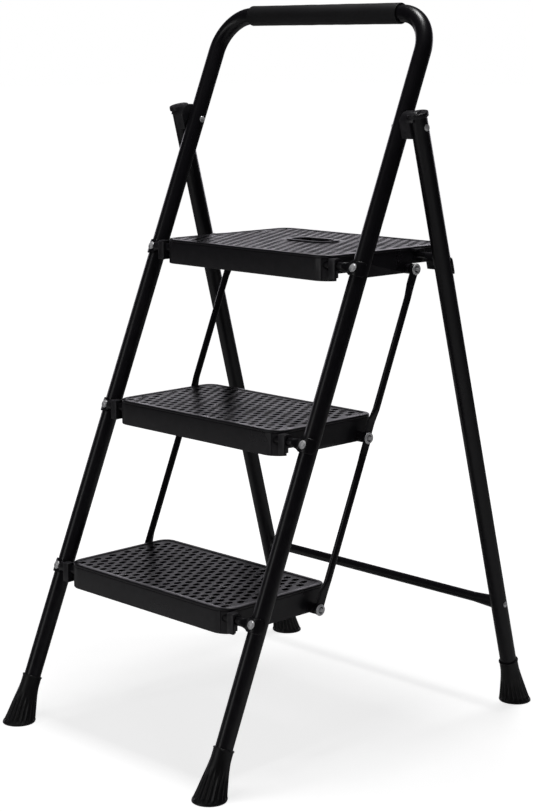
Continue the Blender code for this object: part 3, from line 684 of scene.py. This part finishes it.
def step_tube(step):
    half = flattening(*FLATTENING_X) + [(FRONT_X, SADDLE_R, 0, SADDLE_THICK, FLAT_HALF, 0.42, 0)]
    half += wrap_rows(FRONT_X, FLAT_HALF, 75)
    rings = [saddle_ring(*row) for row in mirrored(half) + half]
    place = FRONT_PLANE @ Matrix.Translation((0, 0, front_along(step)))
    item = mesh_object("cross_tube_" + step, placed(skin(rings), place), 38)
    piece(item, "powder_coat", "front_frame", "step_tube_" + step)


def rear_lower_bar():
    along = (HINGE.z - BAR_Z) / math.cos(REAR_LEAN)
    end = rear_leg_x(along) - 0.006
    pressed = 0.042
    round_end = (end - pressed, 0, 0, BAR_R, BAR_R, 1.0, 0)
    half = transition_rows(round_end, (end, 0, 0, BAR_R, FLAT_HALF, 0.85, 0))
    rings = [saddle_ring(*row) for row in mirrored(half) + half]
    place = REAR_PLANE @ Matrix.Translation((0, 0, -along))
    item = mesh_object("lower_cross_bar", placed(skin(rings), place), 38)
    reach = 0.05
    for sign in SIDES.values():
        tool = bmesh.new()
        add_cylinder(tool, TUBE_R + 0.0002, (sign * rear_leg_x(along - reach), 0, reach),
                     (sign * rear_leg_x(along + reach), 0, -reach), 48)
        combine(item, placed(tool, place), "DIFFERENCE")
    piece(item, "powder_coat", "rear_frame", "rear_lower_bar")


def rest_saddle_along():
    """How far up the rear leg from the hinge the rest's flat end sits; negative is down."""
    return (REST_SADDLE_Z - HINGE.z - SADDLE_R * math.sin(REAR_LEAN)) / math.cos(REAR_LEAN)


def rear_rest(side, sign):
    """An arm from a rear leg's back face to the thin neck under the top tread's hook."""
    peg = REST - HINGE
    peg_out = peg.y * math.cos(REAR_LEAN) + peg.z * math.sin(REAR_LEAN)
    peg_along = peg.z * math.cos(REAR_LEAN) - peg.y * math.sin(REAR_LEAN)
    drop = rest_saddle_along() - peg_along
    leg_x = rear_leg_x(-rest_saddle_along())
    soft = 0.0010
    thicken = 0.0030
    bend_x = (0.2165, 0.2390)
    neck_out = peg_out + NECK_BACK
    rows = []
    for t in (0.0, 0.25, 0.5, 0.75, 1.0):
        radius = NECK_R - soft + soft * math.sin(t * math.pi / 2)
        rows.append((REST.x + soft - soft * math.cos(t * math.pi / 2), neck_out, NECK_RISE,
                     radius, radius, 1.0, 0))
    rows += transition_rows((NECK_X, neck_out, NECK_RISE, NECK_R, NECK_R, 1.0, 0),
                            (NECK_X + thicken, peg_out, 0, REST_R, REST_R, 1.0, 0), 6)
    flat = (bend_x[1], SADDLE_R + 0.0003, drop, SADDLE_THICK, REST_FLAT_HALF, 0.45, 0)
    rows += transition_rows((bend_x[0], peg_out, 0, REST_R, REST_R, 1.0, 0), flat, 16)
    rows += [(leg_x, SADDLE_R, drop, SADDLE_THICK, REST_FLAT_HALF, 0.42, 0)]
    rows += wrap_rows(leg_x, REST_FLAT_HALF, 50, drop)
    flip = Matrix.Diagonal((sign, -1, 1, 1))
    rings = [[flip @ point for point in saddle_ring(*row)] for row in rows]
    place = REAR_PLANE @ Matrix.Translation((0, 0, peg_along))
    item = mesh_object("rest_arm_" + side, placed(skin(rings), place), 38)
    flange = side_box(sign, (0.2050, 0.2385), (TUBE_R + 0.0004, TUBE_R + 0.0028),
                      (rest_saddle_along() - 0.0095, rest_saddle_along() + 0.0050))
    bmesh.ops.bevel(flange, geom=flange.edges[:], offset=0.0005, segments=2, profile=0.5,
                    affect="EDGES")
    combine(item, placed(flange, REAR_PLANE), "UNION")
    piece(item, "powder_coat", "rear_frame", "rear_rest_" + side)


# -------------------------------------------------------------------------------- rivets
def dome(radius, height, base, steps=9):
    """Rows of a low round head, top first."""
    rows = []
    for i in range(steps + 1):
        angle = math.pi / 2 * i / steps
        rows.append((radius * math.sin(angle), base + height * math.cos(angle)))
    return rows


def rivet(name, node, body, place, head, shank, tail, flange=0.0):
    """A domed rivet along -Z from its head's underside; head, shank, tail: (radius, length)."""
    head_r, head_h = head
    shank_r, shank_end = shank
    tail_r, tail_h = tail
    base = 0.0006
    rows = dome(head_r, head_h - base, base)
    if flange:
        rows += [(head_r + flange * 0.7, base), (head_r + flange, base * 0.6),
                 (head_r + flange, 0.0)]
    else:
        rows += [(head_r, 0.0)]
    rows += [(shank_r, 0.0), (shank_r, -shank_end)]
    if tail_r > shank_r:
        rows += [(tail_r, -shank_end)]
        rows += [(tail_r * c, -shank_end - tail_h * s)
                 for c, s in arc((0, 0), 1.0, 15, 75, 4)]
    rows += [(0.0, -shank_end - tail_h)]
    item = mesh_object(name, placed(turned(rows), place), 40)
    if flange:
        paint(item, place, head_r + flange * 0.35, 1.0)
    piece(item, "rivet_steel", body, node)


def paint(item, place, inner, outer):
    """Give the ring between two radii round a rivet's axis the black powder_coat material."""
    item.data.materials.append(MATERIALS["rivet_steel"])
    item.data.materials.append(MATERIALS["powder_coat"])
    inverse = place.inverted()
    for polygon in item.data.polygons:
        centre = inverse @ polygon.center
        if inner < math.hypot(centre.x, centre.y) < outer:
            polygon.material_index = 1


def turn_to(axis):
    """The rotation that takes +Z to an axis."""
    return Vector(axis).to_track_quat("Z", "Y").to_matrix().to_4x4()


def rivets():
    through_leg = 2 * TUBE_R + 2 * SADDLE_THICK + 0.0009
    shank_r = 0.0020
    for side, sign in SIDES.items():
        for step in STEP:
            spot = Vector((sign * FRONT_X, -SADDLE_R - SADDLE_THICK, front_along(step)))
            place = FRONT_PLANE @ Matrix.Translation(spot) @ turn_to((0, -1, 0))
            rivet(f"saddle_rivet_{step}_{side}", f"step_tube_rivet_{step}_{side}", "front_frame",
                  place, (0.0056, 0.0033), (shank_r, through_leg), (0.0040, 0.0010), 0.0010)
        hinge_rivet(side, sign)
        along = (HINGE.z - BAR_Z) / math.cos(REAR_LEAN)
        spot = Vector((sign * (rear_leg_x(along) + TUBE_R), 0, -along))
        place = REAR_PLANE @ Matrix.Translation(spot) @ turn_to((sign, 0, 0))
        rivet("bar_rivet_" + side, "lower_bar_rivet_" + side, "rear_frame", place,
              (0.0042, 0.0021), (shank_r, 0.034), (shank_r, 0.0010))
        spot = Vector((sign * rear_leg_x(-rest_saddle_along()), SADDLE_R + SADDLE_THICK,
                       rest_saddle_along()))
        place = REAR_PLANE @ Matrix.Translation(spot) @ turn_to((0, 1, 0))
        rivet("arm_rivet_" + side, "rest_rivet_" + side, "rear_frame", place,
              (0.0045, 0.0022), (shank_r, 0.0050), (shank_r, 0.0010))


def hinge_rivet(side, sign):
    """The axle through a front leg, the hinge block and a rear leg, domed at both ends."""
    head_x = REAR_X_HINGE + TUBE_R + 0.0001
    tail_x = FRONT_X - TUBE_R - 0.0001
    head_r = 0.0048
    shank_r = 0.0030
    rim = 0.0005
    rows = dome(head_r, 0.0022, 0.0006) + [(head_r, 0.0), (shank_r, 0.0)]
    length = head_x - tail_x
    rows += [(shank_r, -length), (head_r, -length), (head_r, -length - rim)]
    rows += [(r, -length - rim - z) for r, z in reversed(dome(head_r, 0.0017, 0.0))][1:]
    place = Matrix.Translation(HINGE + Vector((sign * head_x, 0, 0))) @ turn_to((sign, 0, 0))
    item = mesh_object("hinge_axle_" + side, placed(turned(rows), place), 40)
    piece(item, "rivet_steel", "front_frame", "hinge_rivet_" + side)


def link_pin(step, side, sign):
    """A washer with a rolled rim, a recessed well painted black as shade and a small domed head in
    its middle.
    """
    rows = [(0.0, 0.0044), (0.0010, 0.0045), (0.0019, 0.0042), (0.0027, 0.0034),
            (0.0031, 0.0024), (0.0032, 0.0008), (0.0045, 0.0008), (0.0047, 0.0016)]
    rows += [(0.0063 + 0.0016 * c, 0.0014 + 0.0012 * s) for c, s in arc((0, 0), 1.0, 150, 30, 7)]
    rows += [(0.0082, 0.0012), (0.0085, 0.0007), (0.0085, 0.0003), (0.0082, 0.0),
             (0.0020, 0.0), (0.0020, -0.0225), (0.0038, -0.0225), (0.0036, -0.0233),
             (0.0, -0.0235)]
    spot = STEP[step] + LINK_PIN + Vector((sign * WASHER_X, 0, 0))
    place = Matrix.Translation(spot) @ turn_to((sign, 0, 0))
    item = mesh_object(f"washer_pin_{step}_{side}", placed(turned(rows, 48), place), 40)
    # painted shade: the washer's recessed well is coloured black
    paint(item, place, 0.0032, 0.0046)
    piece(item, "rivet_steel", step + "_step", f"link_pin_{step}_{side}")


# ---------------------------------------------------------------------------- link rods
def ear_rows(centre_x, half_thick, at, direction):
    """Rows of a flattened rod end round a pin, from its tip to the round rod."""
    flat_length = 0.0240
    rod_start = 0.0430
    rows = []
    for i in range(9):
        angle = math.radians(88 - 88 * i / 8)
        rows.append((at - direction * EAR_R * math.sin(angle), centre_x, half_thick,
                     EAR_R * math.cos(angle), 0.5))
    flat = (at + direction * flat_length, centre_x, half_thick, EAR_R - 0.0002, 0.5)
    rod = (at + direction * rod_start, LINK_X, LINK_R, LINK_R, 1.0)
    return rows + transition_rows(flat, rod, 10)


def link_rod(level, side, sign, top, fall, upper_ear, lower_ear):
    """A rod from the pin at top to the pin one fall lower, its pressed ears bored."""
    length = fall.length
    down = fall.normalized()
    across = Vector((1, 0, 0)).cross(down)
    rows = ear_rows(*upper_ear, 0.0, 1) + list(reversed(ear_rows(*lower_ear, length, -1)))
    rings = []
    for along, x, half_thick, half_wide, squareness in rows:
        centre = top + down * along
        rings.append([centre + Vector((sign * (x + a), 0, 0)) + across * b
                      for a, b in oval(half_thick, half_wide, squareness, 28)])
    item = mesh_object(f"link_rod_{level}_{side}", skin(rings), 38)
    tool = bmesh.new()
    for spot in (top, top + fall):
        add_side_cylinder(tool, 0.0023, spot, sign, 0.17, 0.21, 24)
    combine(item, tool, "DIFFERENCE")
    piece(item, "powder_coat", level + "_links", f"link_{level}_{side}")


# --------------------------------------------------------------------------- treads
def tread_rings(rear):
    """Rings from the deck's underside, down inside, under the skirt and up to the deck.

    Each row is (distance in from the tread's outline, height); a shallow groove runs round it
    below the deck's rounded edge, and a small step leads from the border down to the deck.
    """
    low, high = SKIRT_LOW, TREAD_TOP
    wall = SKIRT_WALL
    under = high - 0.0046
    rows = [(wall + 0.0006, under), (wall, under - 0.0006), (wall - 0.0004, low + 0.0004),
            (wall - 0.0007, low), (0.0006, low), (0.0002, low + 0.0002), (0.0, low + 0.0006),
            (0.0, high - 0.0048), (0.0003, high - 0.0045), (0.0006, high - 0.0043),
            (0.0006, high - 0.0037), (0.0002, high - 0.0034), (0.0, high - 0.0030),
            (0.0, high - 0.0016)]
    rows += [(0.0016 + x, high - 0.0016 + z) for x, z in arc((0, 0), 0.0016, 170, 90, 6)]
    rows += [(0.0080, high), (0.0086, high - 0.0002), (0.0090, high - 0.0005)]
    rings = []
    for inset, height in rows:
        outline = rounded_rectangle(
            -TREAD_HALF + inset, TREAD_HALF - inset, -TREAD_FRONT + inset, rear - inset,
            FRONT_CORNER - inset, REAR_CORNER - inset)
        rings.append(ring_at(outline, height))
    return rings


def inside(x, y, rear, margin):
    """Whether a dimple's centre is at least a margin inside the tread's outline."""
    dx = TREAD_HALF - margin - abs(x)
    front = y + TREAD_FRONT - margin
    back = rear - margin - y
    if min(dx, front, back) < 0:
        return False
    for depth, corner in ((front, FRONT_CORNER), (back, REAR_CORNER)):
        radius = corner - margin
        if dx < radius and depth < radius:
            if math.hypot(radius - dx, radius - depth) > radius:
                return False
    return True


def dimple_cutter(rear, keep_out):
    """All the deck's pits as one tool: staggered rows of short slots with soft mouths."""
    shape = bmesh.new()
    first_row = 0.0047
    border = 0.0125
    rows = math.ceil((rear - first_row) / DIMPLE_PITCH_Y)
    for row in range(rows):
        y = first_row + DIMPLE_PITCH_Y * row
        shift = 0.5 if row % 2 == 0 else 0.0
        for column in range(-12, 12):
            x = (column + shift) * DIMPLE_PITCH_X
            if inside(x, y, rear, border) and not keep_out(x, y):
                add_pit(shape, x, y)
    return shape


def add_pit(shape, x, y):
    """One pit: rings of (growth beyond its radius, height over the deck), from the mouth down."""
    levels = [(0.0006, 0.0010), (0.0002, 0.0), (0.0, -0.00015), (0.0, -0.0004),
              (-0.0002, -PIT_DEPTH)]
    sides = 16
    rings = []
    for grow, lift in levels:
        ring = []
        for k in range(sides):
            angle = math.tau * k / sides
            stretch = 0
            if abs(math.sin(angle)) > 0.01:
                stretch = math.copysign(PIT_STRAIGHT, math.sin(angle))
            ring.append(shape.verts.new((
                x + (PIT_R + grow) * math.cos(angle),
                y + (PIT_R + grow) * math.sin(angle) + stretch, DECK_INNER + lift)))
        rings.append(ring)
    shape.faces.new(rings[0])
    shape.faces.new(rings[-1])
    for ring, after in zip(rings, rings[1:]):
        for k in range(sides):
            j = (k + 1) % sides
            shape.faces.new((ring[k], ring[j], after[j], after[k]))


def long_ribs(rear):
    """Stiffening ribs under the deck from front to back, clear of the cross tube."""
    shape = bmesh.new()
    high = TREAD_TOP - 0.0035
    low = -0.0120
    start = 0.0120
    pitch = 0.0380
    for column in range(-4, 5):
        x = column * pitch
        add_box(shape, (x - RIB_HALF, start, low), (x + RIB_HALF, rear - 0.0020, high))
    return shape


def cross_ribs(rear):
    """Stiffening ribs under the deck from side to side, behind the cross tube."""
    shape = bmesh.new()
    high = TREAD_TOP - 0.0035
    low = -0.0110
    edge = TREAD_HALF - 0.0020
    rows = max(3, round(rear / 0.045))
    for row in range(rows):
        y = 0.0125 + (rear - 0.030) * row / (rows - 1)
        add_box(shape, (-edge, y - RIB_HALF, low), (edge, y + RIB_HALF, high))
    return shape


def tread(step):
    node = "tread_" + step
    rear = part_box(node)[1].y - STEP[step].y
    item = mesh_object("moulded_" + node, skin(tread_rings(rear)))
    combine(item, cross_ribs(rear), "UNION")
    combine(item, long_ribs(rear), "UNION")
    keep_out = near_hand_hole if step == "top" else (lambda x, y: False)
    combine(item, dimple_cutter(rear, keep_out), "DIFFERENCE", "MANIFOLD")
    if step == "top":
        top_tread_extras(item)
    for sign in SIDES.values():
        tread_side(item, sign)
    combine(item, tube_channel(STEP_TUBE_R + 0.0006), "DIFFERENCE")
    shade_pits(item, rear)
    item.data.transform(Matrix.Translation(STEP[step]))
    piece(item, "tread_plastic", step + "_step", node)


def tube_channel(radius):
    """A cutter along the cross tube's axis, longer than any tread."""
    shape = bmesh.new()
    add_cylinder(shape, radius, (-0.2, 0, 0), (0.2, 0, 0), 40)
    return shape


def top_tread_extras(item):
    """The top tread's hand slot, its shallower skirt at the back and its two hooks."""
    combine(item, hand_hole_rim(), "UNION")
    combine(item, hand_hole_slot(), "DIFFERENCE")
    rear_cut = bmesh.new()
    add_box(rear_cut, (-0.2, 0.162, -0.05), (0.2, 0.3, -0.010))
    combine(item, rear_cut, "DIFFERENCE")
    for sign in SIDES.values():
        combine(item, top_hook(sign), "UNION")


def tread_side(item, sign):
    """One side's lug and boss for the link pin, corner socket and notch in the skirt."""
    pin = Vector((0, LINK_PIN.y, LINK_PIN.z))
    lug = bmesh.new()
    add_side_cylinder(lug, 0.0055, pin, sign, 0.1705, 0.1872)
    combine(item, lug, "UNION")
    socket = side_box(sign, (0.1460, 0.1600), (-0.0085, 0.0095), (-0.0205, TREAD_TOP - 0.0040))
    combine(item, socket, "UNION")
    boss = bmesh.new()
    add_side_cylinder(boss, 0.0076, pin, sign, 0.1705, 0.1835)
    combine(item, boss, "UNION")
    notch = [(0.0080, -0.0300), (0.0080, -0.0122), (0.0370, -0.0122), (0.0400, -0.0150),
             (0.0410, -0.0300)]
    combine(item, prism(notch, sign * 0.1600, sign * 0.1900), "DIFFERENCE")


def shade_pits(item, rear):
    """Paint shade onto the floors and lower walls of the deck's pits with the dark pit_shadow
    material.
    """
    item.data.materials.append(MATERIALS["tread_plastic"])
    item.data.materials.append(MATERIALS["pit_shadow"])
    top = TREAD_TOP - 0.0007
    bottom = DECK_INNER - PIT_DEPTH - 0.0001
    # painted shade: faces inside the pits get the near-black material
    for polygon in item.data.polygons:
        centre = polygon.center
        if bottom < centre.z < top and inside(centre.x, centre.y, rear, 0.0085):
            polygon.material_index = 1


def hand_hole_rings(grow, corner, rows):
    """Rings round the hand slot's outline, grown all round; rows are (distance in, height)."""
    half = HAND_HOLE["half"] + grow
    front = HAND_HOLE["front"] - grow
    back = HAND_HOLE["back"] + grow
    rings = []
    for inset, height in rows:
        outline = rounded_rectangle(-half + inset, half - inset, front + inset, back - inset,
                                    corner - inset, corner - inset)
        rings.append(ring_at(outline, height))
    return rings


def hand_hole_rim():
    """A low raised rim round the carrying slot."""
    deck = TREAD_TOP
    return skin(hand_hole_rings(RIM_WIDTH, 0.022, [
        (0.0, deck - 0.0015), (0.0, deck + 0.0003), (0.0003, deck + 0.0008),
        (0.0009, deck + 0.0010), (0.0070, deck + 0.0010)]))


def hand_hole_slot():
    """The slot's opening, with a soft mouth, down through the ribs."""
    deck = TREAD_TOP
    return skin(hand_hole_rings(0.0, 0.015, [
        (-0.0015, deck + 0.0020), (-0.0008, deck + 0.0010), (-0.0002, deck + 0.0004),
        (0.0, deck - 0.0004), (0.0, deck - 0.0300)]))


def near_hand_hole(x, y):
    """Whether a dimple would touch the hand slot's rim."""
    clear = RIM_WIDTH + 0.005
    return (abs(x) < HAND_HOLE["half"] + clear
            and HAND_HOLE["front"] - clear < y < HAND_HOLE["back"] + clear)


def top_hook(sign):
    """The side lug that drops over the rear rest."""
    neck_rise = NECK_RISE * math.cos(REAR_LEAN) + NECK_BACK * math.sin(REAR_LEAN)
    neck_back = NECK_BACK * math.cos(REAR_LEAN) - NECK_RISE * math.sin(REAR_LEAN)
    peg = REST + Vector((0, neck_back, neck_rise)) - STEP["top"]
    room = NECK_R + 0.0005
    front = peg.y - 0.009
    back = peg.y + room + 0.0040
    low = peg.z - 0.0100
    high = peg.z + 0.0085
    outline = [(front, high), (front, peg.z + room)]
    outline += arc((peg.y, peg.z), room, 90, 0, 10)
    outline += [(peg.y + room, low), (back, low), (back, high)]
    return prism(outline, sign * (TREAD_HALF - 0.0015), sign * 0.1870, 0.0005)


def step_clip(step, side, sign):
    """The hook over the cross tube: a wall down beside the skirt, an arm over the tube and a web
    towards the tread, hollowed where the tube and the tread's rounded corner stand."""
    room = STEP_TUBE_R + 0.0002
    front, wall_back = -0.0090, -0.0050
    low, high, reach = -0.0185, 0.0105, 0.0107
    soft = 0.0010
    slope = 0.0022
    crest = math.degrees(math.asin(high / reach))
    meet = 360 - math.degrees(math.acos(wall_back / room))
    outline = arc((wall_back - soft, low + soft), soft, 360, 270, 4)
    outline += arc((front + soft, low + soft), soft, 270, 180, 4)
    outline += [(front, high - slope), (front + 0.0003, high - slope + 0.0006),
                (front + slope - 0.0006, high - 0.0002), (front + slope, high)]
    outline += arc((0, 0), reach, crest, -22, 16)
    outline += arc((0, 0), room, -27, meet, 28)
    shape = prism(outline, sign * CLIP_X[0], sign * CLIP_X[1], 0.0006)
    item = mesh_object(f"hook_clip_{step}_{side}", shape)
    web = side_box(sign, (CLIP_X[0], CLIP_X[0] + 0.0032), (front + 0.0004, 0.0085),
                   (low + 0.0004, high - 0.0002))
    combine(item, web, "UNION")
    combine(item, tube_channel(room), "DIFFERENCE")
    gap = 0.0003
    corner = rounded_rectangle(-TREAD_HALF - gap, TREAD_HALF + gap, -TREAD_FRONT - gap, 0.1,
                               FRONT_CORNER + gap, 0.01)
    combine(item, skin([ring_at(corner, -0.03), ring_at(corner, 0.03)]), "DIFFERENCE")
    item.data.transform(Matrix.Translation(STEP[step]))
    piece(item, "clip_plastic", step + "_step", f"step_clip_{step}_{side}")


# ------------------------------------------------------------------------ hinge blocks
def hinge_bracket(side, sign):
    """A moulded block beside the rear leg with a rounded cap and a lobe over the leg's top."""
    at_hinge = Matrix.Translation(HINGE)
    inner = FRONT_X + TUBE_R + 0.0006
    groove = 0.2430
    outer = 0.2500
    outline = [(-0.0127, -0.0160), (-0.0185, 0.0062)]
    outline += arc((-0.0020, 0.0062), 0.0165, 175, 90, 14)
    outline += arc((0.0055, 0.0167), 0.0060, 80, 10, 5)
    outline += [(0.0120, 0.0060), (0.0148, -0.0160)]
    shape = prism(outline, sign * inner, sign * outer, 0.0007, 2)
    item = mesh_object("hinge_block_" + side, placed(shape, at_hinge))
    opening = side_box(sign, (groove, 0.2700), (-0.04, 0.04), (-0.04, 0.0066))
    combine(item, placed(opening, at_hinge), "DIFFERENCE")
    leg = bmesh.new()
    add_cylinder(leg, TUBE_R + 0.0002, (sign * rear_leg_x(0.1), 0, -0.1),
                 (sign * rear_leg_x(-REAR_LEG_TOP), 0, REAR_LEG_TOP + 0.0002), 64)
    combine(item, placed(leg, REAR_PLANE), "DIFFERENCE")
    lobe_r = 0.0151
    lobe_top = 0.0215
    soft = 0.0012
    rows = [(0.0, lobe_top)]
    rows += [(lobe_r - soft + r, lobe_top - soft + z) for r, z in arc((0, 0), soft, 90, 0, 5)]
    rows += [(lobe_r, REAR_LEG_TOP + 0.0008), (lobe_r - 0.0004, REAR_LEG_TOP + 0.0004),
             (0.0, REAR_LEG_TOP + 0.0004)]
    lobe = placed(turned(rows, 64), Matrix.Translation((sign * rear_leg_x(-0.018), 0, 0)))
    combine(item, placed(lobe, REAR_PLANE), "UNION")
    piece(item, "hinge_plastic", "rear_frame", "hinge_bracket_" + side)


# ------------------------------------------------------------------------------ stage
CAMERA_AZIMUTH = 45.63
CAMERA_ELEVATION = 10.78
CAMERA_DISTANCE = 2.776
CAMERA_AIM = Vector((0.0165, -0.0063, 0.475))
CAMERA_LENS = 82.92


def toward(azimuth, elevation):
    """The direction to a place round the object; azimuth 0 is the front."""
    a = math.radians(azimuth)
    e = math.radians(elevation)
    return Vector((math.sin(a) * math.cos(e), -math.cos(a) * math.cos(e), math.sin(e)))


def aimed(name, data, aim, back, distance):
    """A camera or light at a distance from a point, looking at it."""
    item = bpy.data.objects.new(name, data)
    item.location = aim + back * distance
    item.rotation_euler = back.to_track_quat("Z", "Y").to_euler()
    bpy.context.scene.collection.objects.link(item)
    return item


def camera():
    data = bpy.data.cameras.new("camera")
    data.lens = CAMERA_LENS
    data.sensor_width = 36.0
    back = toward(CAMERA_AZIMUTH, CAMERA_ELEVATION)
    bpy.context.scene.camera = aimed("camera", data, CAMERA_AIM, back, CAMERA_DISTANCE)


def softbox(name, azimuth, elevation, distance, width, height, power, aim=(0, 0, 0.45)):
    data = bpy.data.lights.new(name, "AREA")
    data.shape = "RECTANGLE"
    data.size = width
    data.size_y = height
    data.energy = power
    return aimed(name, data, Vector(aim), toward(azimuth, elevation), distance)


def wiring(tree):
    """Empty a node tree and give the two functions that add and link its nodes."""
    tree.nodes.clear()

    def node(kind, operation=None):
        made = tree.nodes.new("ShaderNode" + kind)
        if operation:
            made.operation = operation
        return made

    return node, tree.links.new


def floor():
    """A pale floor that melts into the white backdrop and takes soft shadows near the stool; to
    the camera it also has a painted glow.
    """
    shape = bmesh.new()
    bmesh.ops.create_grid(shape, x_segments=1, y_segments=1, size=40.0)
    item = mesh_object("floor", shape)
    material = bpy.data.materials.new("pale_floor")
    material.use_nodes = True
    tree = material.node_tree
    node, link = wiring(tree)
    out = node("OutputMaterial")
    total = node("AddShader")
    glow = node("Emission")
    matte = node("BsdfDiffuse")
    seen = node("LightPath")
    place = node("TexCoord")
    distance = node("VectorMath", "LENGTH")
    link(place.outputs["Object"], distance.inputs[0])
    # painted light: a glow seen only by the camera, 0.79 near the stool rising to 1.0 far off,
    # added to the lit matte floor
    level = range_node(tree, distance.outputs["Value"], 0.45, 1.3, 0.79, 1.0, True)
    link(multiply(tree, level, seen.outputs["Is Camera Ray"]), glow.inputs["Strength"])
    matte.inputs["Color"].default_value = (0.8, 0.8, 0.8, 1.0)
    link(glow.outputs["Emission"], total.inputs[0])
    link(matte.outputs["BSDF"], total.inputs[1])
    link(total.outputs["Shader"], out.inputs["Surface"])
    item.data.materials.append(material)


def world():
    """White to the camera; to shiny surfaces, a dark room whose far wall glows near the floor."""
    scene = bpy.context.scene
    scene.world = bpy.data.worlds.new("studio")
    scene.world.use_nodes = True
    tree = scene.world.node_tree
    node, link = wiring(tree)
    out = node("OutputWorld")
    pick = node("MixShader")
    seen = node("LightPath")
    white = node("Background")
    room = node("Background")
    place = node("TexCoord")
    split = node("SeparateXYZ")
    behind = node("VectorMath", "DOT_PRODUCT")
    behind.inputs[1].default_value = toward(CAMERA_AZIMUTH + 180, 0)
    link(place.outputs["Generated"], split.inputs[0])
    link(place.outputs["Generated"], behind.inputs[0])
    wall = range_node(tree, behind.outputs["Value"], 0.45, 0.92, 0.0, 1.0, True)
    rise = range_node(tree, split.outputs["Z"], 0.05, 0.26, 1.7, 0.05, True)
    wall = multiply(tree, multiply(tree, wall, rise), seen.outputs["Is Glossy Ray"])
    total = node("Math", "ADD")
    total.inputs[1].default_value = 0.02
    link(wall, total.inputs[0])
    white.inputs["Color"].default_value = (1, 1, 1, 1)
    room.inputs["Color"].default_value = (1.0, 0.965, 1.045, 1)
    link(total.outputs["Value"], room.inputs["Strength"])
    link(seen.outputs["Is Camera Ray"], pick.inputs["Fac"])
    link(room.outputs["Background"], pick.inputs[1])
    link(white.outputs["Background"], pick.inputs[2])
    link(pick.outputs["Shader"], out.inputs["Surface"])


def studio():
    world()
    floor()
    softbox("key_softbox", -15, 14, 2.4, 0.5, 1.9, 4.5)
    softbox("overhead", 180, 87, 2.6, 0.55, 0.55, 18, (0, 0.1, 0))
    fill = softbox("front_fill", 62, 5, 2.6, 0.6, 0.6, 4)
    fill.visible_glossy = False
    camera()
    bpy.context.scene.view_settings.view_transform = "Standard"


# ------------------------------------------------------------------------------- build
def build():
    front_frame_tube()
    handle_grip()
    rear_legs()
    feet()
    rear_lower_bar()
    rivets()
    fall = STEP["low"] - STEP["middle"]
    for step in STEP:
        step_tube(step)
        tread(step)
    for side, sign in SIDES.items():
        rear_rest(side, sign)
        hinge_bracket(side, sign)
        for step in STEP:
            step_clip(step, side, sign)
            link_pin(step, side, sign)
        link_rod("upper", side, sign, STEP["top"] + LINK_PIN, fall, SINGLE_EAR, INNER_EAR)
        link_rod("lower", side, sign, STEP["middle"] + LINK_PIN, fall, OUTER_EAR, SINGLE_EAR)


build()
studio()
